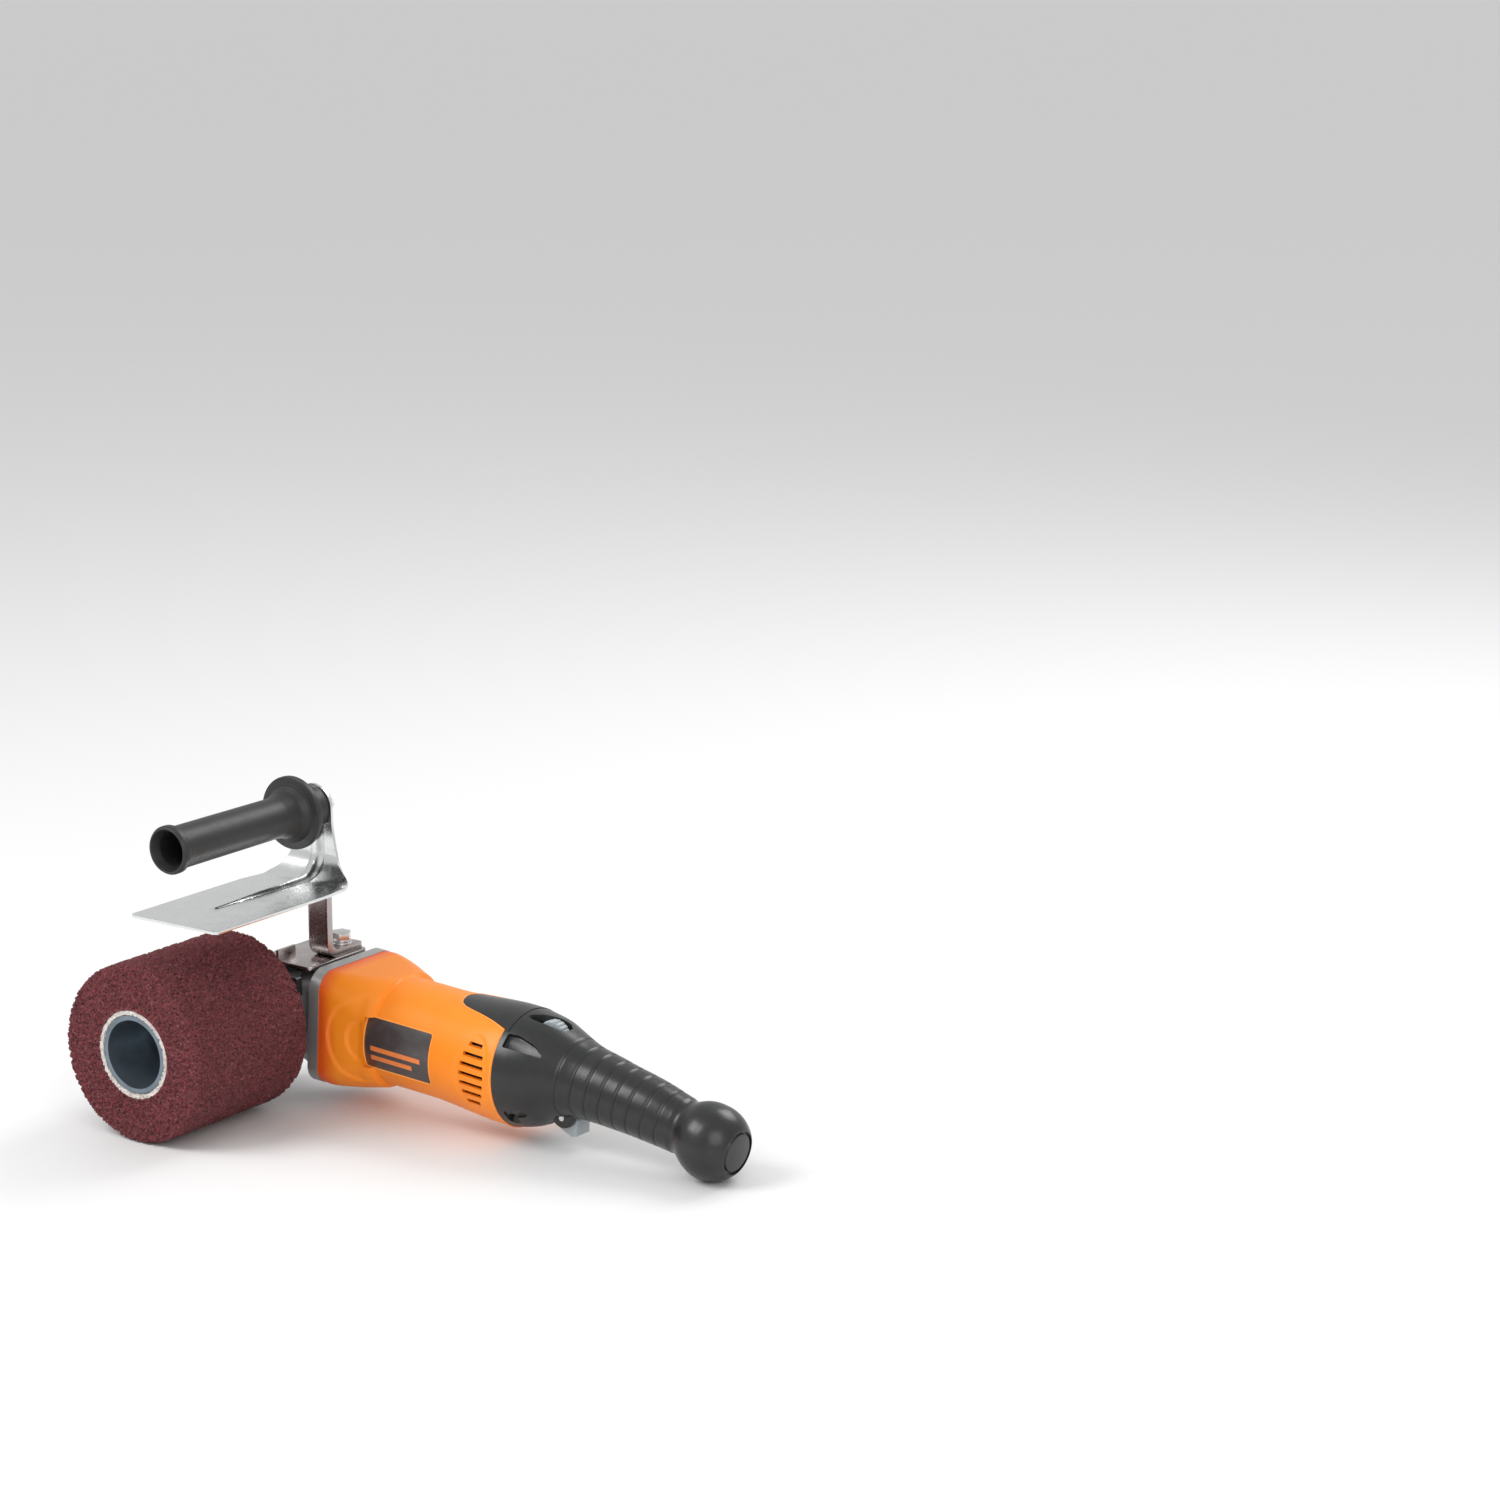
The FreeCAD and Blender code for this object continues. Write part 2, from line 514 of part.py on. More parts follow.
# ---- grip housing ----
def grip_loft(shrink):
    """Round-section solid through the grip stations, its radii reduced by shrink."""
    wires = []
    stations = GRIP_STATIONS
    for k in range(len(stations)):
        x, radius, height = stations[k]
        x0, _, z0 = stations[max(k - 1, 0)]
        x1, _, z1 = stations[min(k + 1, len(stations) - 1)]
        direction = Vec(x1 - x0, 0, z1 - z0) if k else X_DIR
        wires.append(Part.Wire(Part.makeCircle(radius - shrink, Vec(x, 0, height), direction)))
    return Part.makeLoft(wires, True, True)


def grip_axis_point(distance):
    """Point behind the ball's centre along the grip's drooping axis."""
    angle = math.radians(GRIP_TILT)
    return Vec(BALL_X + distance * math.cos(angle), 0, BALL_R - distance * math.sin(angle))


def grip_cylinder(radius, start, length):
    return Part.makeCylinder(radius, length, grip_axis_point(start), grip_axis_point(1) - grip_axis_point(0))


def grip_housing():
    """Left and right shells with the speed dial window, trigger slot and cord inlet seat."""
    outer = grip_loft(0).fuse(Part.makeSphere(BALL_R, Vec(BALL_X, 0, BALL_R)))
    outer = outer.cut(grip_cylinder(40, BALL_END, 20))
    inner = grip_loft(WALL)
    ball_hollow = Part.makeSphere(BALL_R - WALL, Vec(BALL_X, 0, BALL_R)).cut(grip_cylinder(40, BALL_END - WALL, 20))
    shell = outer.cut(inner).cut(ball_hollow)
    shell = fuse_all([shell, tongue(0, 0.4, 0)])
    slot = block(TRIGGER_X - 14, TRIGGER_X + 11, -TRIGGER_HALF - EASE, TRIGGER_HALF + EASE, 0, 38)
    dial = block(DIAL_X - DIAL_R - EASE, DIAL_X + DIAL_R + EASE, -DIAL_HALF - 1, DIAL_HALF + 1, 60, 90)
    pin_hole = rod_y(TRIGGER_PIN_R + FIT, -12, 12, TRIGGER_X, TRIGGER_Z)
    inlet = grip_cylinder(9.3, BALL_END - 10, 20)
    shell = cut_all(shell, [slot, dial, inlet, pin_hole])
    bosses, holes, screws = [], [], []
    for x, z, reach, side in SHELL_SCREWS:
        def across(radius, start, end):
            return rod_y(radius, *sorted((side * start, side * end)), x, z)

        bosses.append(ring_y(5.0, SCREW_HOLE_R, -reach, reach, x, z).common(outer))
        seat = reach - 4
        holes += [across(SCREW_HOLE_R, -18, 60), across(SCREW_SEAT_R, seat, 60)]
        screws.append(fuse_all([across(SCREW_HEAD_R, seat, seat + 2.4), across(SCREW_R, -14, seat + 1)]))
    shell = fuse_all([shell] + bosses)
    shell = cut_all(shell, holes)
    left = shell.common(block(100, 400, 0.02, 60, -10, 120))
    right = shell.common(block(100, 400, -60, -0.02, -10, 120))
    parts["grip_shell_left"] = left
    parts["grip_shell_right"] = right
    parts["shell_screws"] = Part.makeCompound(screws)
    plug = grip_cylinder(9.2, BALL_END - 9.9, 9.9 + 1.0)
    parts["cord_inlet"] = plug.cut(grip_cylinder(7.0, BALL_END - 0.5, 5).cut(grip_cylinder(5.2, BALL_END - 1, 6)))


def controls():
    """Trigger, switch, speed dial and the board that it turns."""
    blade = Part.makePolygon([Vec(x, 0, z) for x, z in (
        (215.5, 20.5), (219, 15.5), (231.5, 9.0), (236.5, 9.6), (237, 20.0), (233, 25.5), (228, 28.5), (217, 27),
        (215.5, 20.5))])
    trigger = Part.Face(blade).extrude(Vec(0, 2 * TRIGGER_HALF, 0))
    trigger.translate(Vec(0, -TRIGGER_HALF, 0))
    pivot_hole = rod_y(TRIGGER_PIN_R + FIT, -20, 20, TRIGGER_X, TRIGGER_Z)
    spring_pocket = rod_y(4.7, -2.6, 2.6, TRIGGER_X, TRIGGER_Z)
    parts["trigger"] = cut_all(trigger, [pivot_hole, spring_pocket])
    parts["trigger_pin"] = rod_y(TRIGGER_PIN_R, -11.5, 11.5, TRIGGER_X, TRIGGER_Z)
    parts["trigger_spring"] = ring_y(4.2, 2.6, -2, 2, TRIGGER_X, TRIGGER_Z)
    well = block(PLUNGER_X - 2.4, PLUNGER_X + 2.4, -4.2, 4.2, 35, 44)
    parts["switch_body"] = block(206, 240, -11, 11, 36, 55).cut(well)
    parts["switch_plunger"] = block(PLUNGER_X - 2, PLUNGER_X + 2, -3.8, 3.8, 27.3, 41)
    wheel = ring_y(DIAL_R, 2 + FIT, -DIAL_HALF, DIAL_HALF, DIAL_X, DIAL_Z)
    notches = []
    for k in range(DIAL_NOTCHES):
        notch = rod_y(0.8, -4, 4, DIAL_X + DIAL_R, DIAL_Z)
        notch.rotate(Vec(DIAL_X, 0, DIAL_Z), Y_DIR, 360 * k / DIAL_NOTCHES)
        notches.append(notch)
    parts["speed_dial"] = cut_all(wheel, notches)
    axle = rod_y(2.0, -6.5, 4.2, DIAL_X, DIAL_Z)
    body = block(DIAL_X - 6, DIAL_X + 6, -10.5, -6.5, DIAL_Z - 9, DIAL_Z + 2)
    parts["dial_potentiometer"] = fuse_all([axle, body])
    parts["circuit_board"] = block(176, 204, -14, 14, 57.5, 59.1)
    parts["board_chips"] = Part.makeCompound([
        block(180, 190, -9, -1, 59.1, 62.5), block(192, 200, 2, 10, 59.1, 65),
        Part.makeCylinder(3.5, 7, Vec(185, 7, 59.1), Z_DIR)])


# ---- bracket, guard and top handle ----
def bent_strip(corner_y, corner_z, side, top, end, radius, thickness, width):
    """L-shaped strip: a leg goes up from the corner and a leg goes out along Y towards side, +1 or -1.

    The corner's outer faces are at corner_y and corner_z, and radius is its outer bend.
    """
    def arc(r, y_turn, z_turn):
        middle = Vec(0, y_turn - side * r * math.sqrt(0.5), z_turn - r * math.sqrt(0.5))
        ends = Vec(0, y_turn - side * r, z_turn), Vec(0, y_turn, z_turn - r)
        return ends[0], ends[1], Part.Arc(ends[0], middle, ends[1]).toShape()

    y_turn, z_turn = corner_y + side * radius, corner_z + radius
    up_out, flat_out, outer = arc(radius, y_turn, z_turn)
    up_in, flat_in, inner = arc(radius - thickness, y_turn, z_turn)
    tip_out, tip_in = Vec(0, end, corner_z), Vec(0, end, corner_z + thickness)
    top_out, top_in = Vec(0, corner_y, top), Vec(0, corner_y + side * thickness, top)
    lines = [(top_out, up_out), (flat_out, tip_out), (tip_out, tip_in), (tip_in, flat_in), (up_in, top_in),
             (top_in, top_out)]
    edges = [Part.makeLine(a, b) for a, b in lines] + [outer, inner]
    strip = Part.Face(Part.Wire(Part.__sortEdges__(edges))).extrude(Vec(width, 0, 0))
    strip.translate(Vec(BAR_X - width / 2, 0, 0))
    return strip


def bracket():
    """Base plate on the gear head, the upright bar bolted to it and the bolts."""
    foot_top = PLATE_TOP + BAR_T
    bar = bent_strip(BAR_FACE, PLATE_TOP, 1, HANDLE_Z + 12, FOOT_END, BAR_BEND, BAR_T, BAR_W)
    bolt_hole = Part.makeCylinder(3.6, 30, Vec(BAR_X, BRACKET_BOLT_Y, 80), Z_DIR)
    parts["handle_bar"] = bar.cut(bolt_hole).cut(rod_y(4.2, -20, 0, BAR_X, HANDLE_Z))
    plate = block(1, 45, -33, 24, PLATE_TOP - PLATE_T, PLATE_TOP)
    tab = block(BAR_X - 19, BAR_X - 16.5, -33, -16, PLATE_TOP - 1, PLATE_TOP + 7)
    parts["base_plate"] = fuse_all([plate, tab]).cut(bolt_hole)
    washer = Part.makeCylinder(7.5, 1.4, Vec(BAR_X, BRACKET_BOLT_Y, foot_top), Z_DIR)
    parts["bracket_washer"] = washer.cut(bolt_hole.translated(Vec(0, 0, 10)))
    shank = Part.makeCylinder(3.35, 26, Vec(BAR_X, BRACKET_BOLT_Y, foot_top - 24), Z_DIR)
    head = hexagon(12, 6.5, Vec(BAR_X, BRACKET_BOLT_Y, foot_top + 1.4), Z_DIR)
    parts["bracket_bolt"] = fuse_all([shank, head])


def guard():
    """Bent steel sheet that shields the top of the drum from the hand."""
    top = HANDLE_Z + SHEET_LEG_HALF
    sheet = bent_strip(BAR_FACE, SHEET_Z - SHEET_T, -1, top, SHEET_EDGE, SHEET_BEND, SHEET_T, 2 * SHEET_RIGHT)
    half_outline = [(SHEET_LEG_HALF, top), (SHEET_LEG_HALF, 183), (17.0, 171), (19.5, 161), (24.0, 153)]
    right = half_outline + [(SHEET_RIGHT, SHEET_Z + 0.5), (SHEET_RIGHT, 120)]
    left = half_outline + [(SHEET_LEFT, SHEET_Z + 0.5), (SHEET_LEFT, 120)]
    outline = [(BAR_X + x, z) for x, z in right] + [(BAR_X - x, z) for x, z in reversed(left)]
    front = Part.Face(Part.makePolygon([Vec(x, -200, z) for x, z in outline + outline[:1]]))
    sheet = sheet.common(front.extrude(Vec(0, 250, 0)))
    corner = [(BAR_X + x, y) for x, y in ((22, 0), (60, 0), (60, -44), (SHEET_RIGHT, -44), (34.5, -25), (24, -15))]
    wedge = Part.Face(Part.makePolygon([Vec(x, y, 100) for x, y in corner + corner[:1]])).extrude(Vec(0, 0, 54))
    crown = rod_y(SHEET_LEG_HALF, -60, 0, BAR_X, HANDLE_Z).fuse(block(-20, 90, -200, 20, 100, HANDLE_Z))
    parts["guard_sheet"] = cut_all(sheet.common(crown), [wedge, rod_y(4.2, -60, 0, BAR_X, HANDLE_Z)])


def top_handle():
    """Moulded grip round a steel stud, with a flange that keeps the hand off the guard."""
    def spun(points):
        wire = Part.makePolygon([Vec(BAR_X, y, HANDLE_Z + r) for y, r in points + points[:1]])
        return Part.Face(wire).revolve(Vec(BAR_X, 0, HANDLE_Z), Y_DIR, 360)

    front = BAR_FACE - SHEET_T
    grip = spun([
        (HANDLE_OUT, 10.5), (HANDLE_OUT, 14.2), (-148.5, 15.3), (-145, 15.3), (-141, 13.4), (-128, 13.0),
        (-60, 13.2), (-48, 14.5), (-41, 18), (-37, 23.2), (-35.5, 23.6), (-32.5, 23.6), (-31, 21), (-30, 15),
        (front, 14), (front, 4.2), (-42, 4.2), (-42, 10.5)])
    parts["top_handle"] = grip
    stud = rod_y(4.0, -40, -1.5, BAR_X, HANDLE_Z)
    head = hexagon(13, 5.3, Vec(BAR_X, -47.3, HANDLE_Z), Y_DIR)
    parts["handle_stud"] = fuse_all([stud, head, rod_y(4.0, -43, -39, BAR_X, HANDLE_Z)])
    nut_face = BAR_FACE + BAR_T
    nut = hexagon(13, 5.6, Vec(BAR_X, nut_face, HANDLE_Z), Y_DIR)
    parts["handle_nut"] = nut.cut(rod_y(4.05, nut_face - 1, nut_face + 8, BAR_X, HANDLE_Z))


def export_all():
    """Moves every part to the shared origin and writes one file each."""
    shift = Vec(-ORIGIN_X, -ORIGIN_Y, 0)
    for name, shape in parts.items():
        placed = shape.copy()
        placed.translate(shift)
        if not placed.isValid():
            raise ValueError(name + " is not a valid solid")
        placed.exportStep("parts/" + name + ".step")
        box = placed.BoundBox
        print("%-24s solids %2d  x %7.1f %7.1f  y %7.1f %7.1f  z %6.1f %6.1f  cc %7.2f" % (
            name, len(placed.Solids), box.XMin, box.XMax, box.YMin, box.YMax, box.ZMin, box.ZMax,
            placed.Volume / 1000))


drum()
spindle()
gears()
gear_head()
shaft_lock()
motor()
motor_housing()
grip_housing()
controls()
bracket()
guard()
top_handle()
export_all()
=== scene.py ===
import json
import math
import random

import bmesh
import bpy
from bpy.props import FloatProperty, FloatVectorProperty, IntProperty, PointerProperty
from mathutils import Matrix, Vector, noise


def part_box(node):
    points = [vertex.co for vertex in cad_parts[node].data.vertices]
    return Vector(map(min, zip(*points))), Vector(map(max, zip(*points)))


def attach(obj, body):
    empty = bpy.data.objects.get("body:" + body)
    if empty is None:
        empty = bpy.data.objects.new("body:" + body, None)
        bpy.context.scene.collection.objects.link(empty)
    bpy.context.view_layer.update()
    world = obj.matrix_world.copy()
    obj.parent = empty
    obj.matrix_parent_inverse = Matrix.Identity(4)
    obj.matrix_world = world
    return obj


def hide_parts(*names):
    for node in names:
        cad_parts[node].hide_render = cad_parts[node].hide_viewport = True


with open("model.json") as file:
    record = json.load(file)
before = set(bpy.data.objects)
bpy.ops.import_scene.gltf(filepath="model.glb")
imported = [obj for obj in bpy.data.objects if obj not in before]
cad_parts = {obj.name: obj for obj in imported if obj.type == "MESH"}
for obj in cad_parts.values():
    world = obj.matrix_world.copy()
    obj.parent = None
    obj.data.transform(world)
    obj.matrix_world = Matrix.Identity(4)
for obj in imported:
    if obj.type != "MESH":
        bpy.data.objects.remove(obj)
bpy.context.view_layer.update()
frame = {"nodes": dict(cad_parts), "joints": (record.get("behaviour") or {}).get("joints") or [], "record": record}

bl_info = {
    "name": "Drum grinder",
    "version": (1, 0, 0),
    "blender": (4, 5, 0),
    "location": "View3D > Sidebar > Grinder",
    "description": "Builds the visible pieces of a drum-type angle grinder around its working model",
    "category": "Object",
}

MM = 0.001
JOINTS = {joint["name"]: joint for joint in frame["joints"]}
CROSSING = Vector(JOINTS["drum_spin"]["pos_m"])          # where the spindle and motor axes cross
MOTOR_DIR = Vector(JOINTS["armature_spin"]["axis"])
TILT = math.asin(-MOTOR_DIR.z)
SPINDLE_Z = CROSSING.z / MM

# Frames in millimetres. The bench frame has the floor at z = 0 under the crossing of the two axes,
# and the motor frame has its origin at the crossing and its X along the motor axis.
BENCH = Matrix.Translation((CROSSING.x, CROSSING.y, 0)) @ Matrix.Scale(MM, 4)
MOTOR = Matrix.Translation(CROSSING) @ Matrix.Rotation(TILT, 4, "Y") @ Matrix.Scale(MM, 4)
SPIN_TO_Y = Matrix.Rotation(math.radians(90), 4, "Z")    # turns a part spun about X so that it lies along Y
SPIN_TO_Z = Matrix.Rotation(math.radians(-90), 4, "Y")   # and so that it stands along Z


def bench_point(x, y, z):
    return BENCH @ Vector((x, y, z))


def node_span(node, axis):
    """Lowest and highest coordinate of a CAD node along one axis of the bench frame, in millimetres."""
    low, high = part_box(node)
    inverse = BENCH.inverted()
    return (inverse @ low)[axis], (inverse @ high)[axis]


# ---- sizes in millimetres, in the bench frame unless a comment says otherwise ----
DRUM_OUT, DRUM_IN = node_span("drum_fleece", 1)
BAR_LOW, BAR_HIGH = node_span("handle_bar", 0)
BAR_X = (BAR_LOW + BAR_HIGH) / 2
BAR_FACE = node_span("handle_bar", 1)[0]
HANDLE_Z = sum(node_span("top_handle", 2)) / 2
PLATE_TOP = node_span("handle_bar", 2)[0]
SHEET_EDGE = node_span("guard_sheet", 1)[0]
SHEET_LOW, SHEET_TOP = node_span("guard_sheet", 2)

RIM_BACK = 54.0                        # rear face of the gear case flange along the motor axis
SEAM = 194.0                           # joint between motor housing and grip housing
BALL_X, BALL_R = 334.6, 24.0
BALL_END = 19.2
GRIP_TILT = math.radians(10)

# grip housing: station, radius and height of the centre of each round section
GRIP_STATIONS = (
    (194, 38.0, 46.0), (204, 36.4, 46.6), (214, 33.5, 47.0), (222, 29.8, 46.8), (231, 26.2, 46.0),
    (241, 23.5, 44.7), (255, 22.1, 42.6), (268, 21.0, 40.2), (281, 20.2, 37.9), (294, 19.4, 35.1),
    (307, 18.3, 31.9), (313, 18.0, 30.3),
)
# motor housing behind the screw corners: distance along the motor axis and radius
BARREL_STATIONS = ((90, 35.1), (134, 35.1), (146, 35.7), (158, 36.6), (170, 37.6), (183, 38.3), (197, 38.1))
# square part of the motor housing: distance along the motor axis, half width and corner radius
BLOCK_STATIONS = ((54, 37.6, 13.0), (62, 38.2, 14.5), (78, 37.2, 20.0), (96, 35.4, 29.0), (110, 32.0, 30.0))
# half width of the strip that the grip housing lays over the motor housing
TONGUE_STATIONS = ((145.5, 0.0), (145.7, 3.5), (146.6, 7.0), (148.8, 10.0), (153, 12.6), (161, 15.0), (171, 17.4),
                   (182, 20.2), (194, 23.2))
VENT_REACH = (8.5, 8.0, 6.6, 4.0)      # half lengths of the cooling slots, from the middle one outwards
VENT_X, VENT_PITCH = 176.0, 6.2
VENT_COUNT, VENT_HALF, VENT_TAIL = 7, 1.3, 2.8     # the slots reach a little further towards the grip
BADGE_SEAT = (89.6, 142.4, -16.6, 17.1)            # ends along the motor axis, then bottom and top
BARREL_BLANK = 37.0                                # radius that the housing is turned to before it is shaped
MOTOR_BORE = 31.8
TRIGGER_X, TRIGGER_Z, TRIGGER_PIN_R = 228.0, 22.0, 2.05
DIAL_X, DIAL_Z, DIAL_R, DIAL_HALF, DIAL_NOTCHES = 214.5, 69.5, 10.5, 3.5, 20
# screws that join the grip's shells: x, z, half width of the shell there and the side of the head
SHELL_SCREWS = ((202, 20.5, 25.0, -1), (262, 41, 21.2, 1), (BALL_X - 4, 27, 23.4, 1))
SCREW_SEAT_R, SCREW_SEAT_DEPTH = 3.8, 4.0
TUBE_R, GLUE_R = 25.1, 28.5                        # the drum's board tube and the glue ring round it
BOLT_Y, WASHER_Z = 9.0, 98.0


# ---- settings ----
class DrumSettings(bpy.types.PropertyGroup):
    """Sizes and colours of the abrasive drum."""
    roughness: FloatProperty(name="Nap", description="Depth of the fleece's surface", default=2.1 * MM,
                             min=0, subtype="DISTANCE", unit="LENGTH")
    colour: FloatVectorProperty(name="Fleece", description="Colour of the abrasive fleece", size=3,
                                default=(0.175, 0.028, 0.034), min=0, max=1, subtype="COLOR")
    fibres: IntProperty(name="Fibres", description="Number of loose fibres on the nap", default=5200, min=0)
    glue: FloatVectorProperty(name="Glue", description="Colour of the glue rings", size=3,
                              default=(0.74, 0.70, 0.66), min=0, max=1, subtype="COLOR")


class HousingSettings(bpy.types.PropertyGroup):
    """Sizes and colours of the motor and grip housings."""
    orange: FloatVectorProperty(name="Motor housing", description="Colour of the motor housing", size=3,
                                default=(0.93, 0.265, 0.012), min=0, max=1, subtype="COLOR")
    black: FloatVectorProperty(name="Grip housing", description="Colour of the grip housing", size=3,
                               default=(0.0145, 0.015, 0.0155), min=0, max=1, subtype="COLOR")
    wall: FloatProperty(name="Wall", description="Thickness of the grip housing", default=4.4 * MM,
                        min=0.5 * MM, subtype="DISTANCE", unit="LENGTH")
    grooves: IntProperty(name="Grip grooves", description="Number of ring grooves round the grip", default=8, min=0)


class GuardSettings(bpy.types.PropertyGroup):
    """Sizes of the guard sheet and the bracket."""
    thickness: FloatProperty(name="Sheet", description="Thickness of the guard sheet", default=2 * MM,
                             min=0.5 * MM, subtype="DISTANCE", unit="LENGTH")
    bead: FloatProperty(name="Bead", description="Height of the pressed stiffening bead", default=2.4 * MM,
                        min=0, subtype="DISTANCE", unit="LENGTH")
    steel: FloatVectorProperty(name="Steel", description="Colour of the zinc-plated steel", size=3,
                               default=(0.72, 0.73, 0.73), min=0, max=1, subtype="COLOR")


class StageSettings(bpy.types.PropertyGroup):
    """Floor, lights and camera."""
    floor: FloatVectorProperty(name="Floor", description="Colour of the floor", size=3,
                               default=(0.80, 0.80, 0.80), min=0, max=1, subtype="COLOR")
    light: FloatProperty(name="Key light", description="Power of the main light in watts", default=26.0, min=0)


# ---- mesh helpers ----
def rounded(points, steps=4, closed=False):
    """Outline with filleted corners. Each point is (a, b) or (a, b, fillet radius)."""
    result = []
    count = len(points)
    for k, point in enumerate(points):
        here = Vector(point[:2])
        radius = point[2] if len(point) > 2 else 0
        if radius <= 0 or (not closed and k in (0, count - 1)):
            result.append(here)
            continue
        before = Vector(points[k - 1][:2]) - here
        after = Vector(points[(k + 1) % count][:2]) - here
        half = before.angle(after) / 2
        back = min(radius / math.tan(half), before.length * 0.49, after.length * 0.49)
        radius = back * math.tan(half)
        centre = here + (before.normalized() + after.normalized()).normalized() * (radius / math.sin(half))
        start, end = here + before.normalized() * back, here + after.normalized() * back
        first, last = start - centre, end - centre
        turn = first.angle_signed(last)
        for n in range(steps + 1):
            arm = first.copy()
            arm.rotate(Matrix.Rotation(-turn * n / steps, 2))
            result.append(centre + arm)
    return result


def divided(points, step, closed=False):
    """The outline with its long stretches cut into pieces no longer than step."""
    result = []
    pairs = list(zip(points, list(points[1:]) + ([points[0]] if closed else [])))
    for a, b in pairs:
        a, b = Vector(a), Vector(b)
        cuts = max(1, math.ceil((b - a).length / step))
        result += [a.lerp(b, n / cuts) for n in range(cuts)]
    if not closed:
        result.append(Vector(points[-1]))
    return result


def spin_profile(points, steps=96, closed=True):
    """Turns an outline of (x, radius) points about X into a closed skin."""
    bm = bmesh.new()
    verts = [bm.verts.new((p[0], p[1], 0)) for p in points]
    edges = [bm.edges.new(pair) for pair in zip(verts, verts[1:])]
    if closed:
        edges.append(bm.edges.new((verts[-1], verts[0])))
    bmesh.ops.spin(bm, geom=verts + edges, cent=(0, 0, 0), axis=(1, 0, 0), angle=2 * math.pi, steps=steps,
                   use_merge=True)
    bmesh.ops.remove_doubles(bm, verts=bm.verts, dist=1e-4)
    bmesh.ops.recalc_face_normals(bm, faces=bm.faces)
    return bm


def soft_box(low, high, bevel=0.0, segments=3):
    """Box between two corners, in millimetres, with rounded edges."""
    bm = bmesh.new()
    low, high = Vector(low), Vector(high)
    bmesh.ops.create_cube(bm, size=1)
    bmesh.ops.scale(bm, vec=high - low, verts=bm.verts)
    bmesh.ops.translate(bm, vec=(low + high) / 2, verts=bm.verts)
    if bevel:
        bmesh.ops.bevel(bm, geom=bm.edges[:], offset=bevel, segments=segments, profile=0.5, affect="EDGES",
                        material=-1, clamp_overlap=True)
    return bm


def prism(outline, depth, bevel=0.0, segments=3):
    """Solid made by pulling a flat outline of (a, b) points out along the third axis, half each way."""
    bm = bmesh.new()
    face = bm.faces.new([bm.verts.new((p[0], p[1], -depth / 2)) for p in outline])
    out = bmesh.ops.extrude_face_region(bm, geom=[face])
    moved = [v for v in out["geom"] if isinstance(v, bmesh.types.BMVert)]
    bmesh.ops.translate(bm, vec=(0, 0, depth), verts=moved)
    bmesh.ops.recalc_face_normals(bm, faces=bm.faces)
    if bevel:
        rims = [e for e in bm.edges if abs(e.verts[0].co.z - e.verts[1].co.z) < 1e-6]
        bmesh.ops.bevel(bm, geom=rims, offset=bevel, segments=segments, profile=0.5, affect="EDGES", material=-1,
                        clamp_overlap=True)
    return bm


def rod(radius, start, end, steps=48, bevel=0.0):
    """Cylinder along X with rounded ends' rims."""
    profile = rounded([(start, 0), (start, radius, bevel), (end, radius, bevel), (end, 0)], 3)
    return spin_profile(profile, steps, closed=False)


def sweep(points, radius, sides=8, closed=True):
    """Round bead of one radius along a line of points."""
    bm = bmesh.new()
    count = len(points)
    rings = []
    for k, point in enumerate(points):
        ahead = points[(k + 1) % count] if closed or k < count - 1 else point
        behind = points[k - 1] if closed or k else point
        turn = (ahead - behind).to_track_quat("Z", "X").to_matrix().to_4x4()
        ring = bmesh.ops.create_circle(bm, segments=sides, radius=radius, cap_ends=not closed and k in (0, count - 1),
                                       matrix=Matrix.Translation(point) @ turn)
        rings.append({e for v in ring["verts"] for e in v.link_edges})
    pairs = list(zip(rings, rings[1:] + (rings[:1] if closed else [])))
    for first, second in pairs[:None if closed else count - 1]:
        bmesh.ops.bridge_loops(bm, edges=list(first | second))
    bmesh.ops.recalc_face_normals(bm, faces=bm.faces)
    return bm


def bent_strip(path, reach, thickness, columns, lift=None, bevel=0.4):
    """Sheet centred on a path of (y, z) points. reach gives how far it goes to -X and to +X at each point.

    lift gives the height of a pressed bead over the sheet.
    """
    bm = bmesh.new()
    rows = len(path) - 1
    bmesh.ops.create_grid(bm, x_segments=columns, y_segments=rows, size=0.5)
    for vert in bm.verts:
        row = round((vert.co.y + 0.5) * rows)
        ahead, behind = path[min(row + 1, rows)], path[max(row - 1, 0)]
        along = Vector((0, ahead[0] - behind[0], ahead[1] - behind[1])).normalized()
        normal = Vector((1, 0, 0)).cross(along)
        low, high = reach(*path[row])
        across = low + (high - low) * (vert.co.x + 0.5)
        raised = lift(across, row / rows) if lift else 0
        vert.co = Vector((across, path[row][0], path[row][1])) + normal * (raised + thickness / 2)
    bm.normal_update()
    bmesh.ops.solidify(bm, geom=bm.faces[:], thickness=thickness)
    bmesh.ops.recalc_face_normals(bm, faces=bm.faces)
    if bevel:
        sharp = [e for e in bm.edges if e.is_manifold and e.calc_face_angle() > math.radians(55)]
        bmesh.ops.bevel(bm, geom=sharp, offset=bevel, segments=2, profile=0.5, affect="EDGES", material=-1,
                        clamp_overlap=True)
    return bm


def placed(bm, matrix):
    bmesh.ops.transform(bm, matrix=matrix, verts=bm.verts)
    return bm


def joined(parts):
    """Several closed skins as one bmesh."""
    whole = bmesh.new()
    for part in parts:
        mesh = bpy.data.meshes.new("part")
        part.to_mesh(mesh)
        part.free()
        whole.from_mesh(mesh)
        bpy.data.meshes.remove(mesh)
    return whole


def to_object(bm, name):
    mesh = bpy.data.meshes.new(name)
    bm.to_mesh(mesh)
    bm.free()
    piece = bpy.data.objects.new(name, mesh)
    bpy.context.scene.collection.objects.link(piece)
    return piece


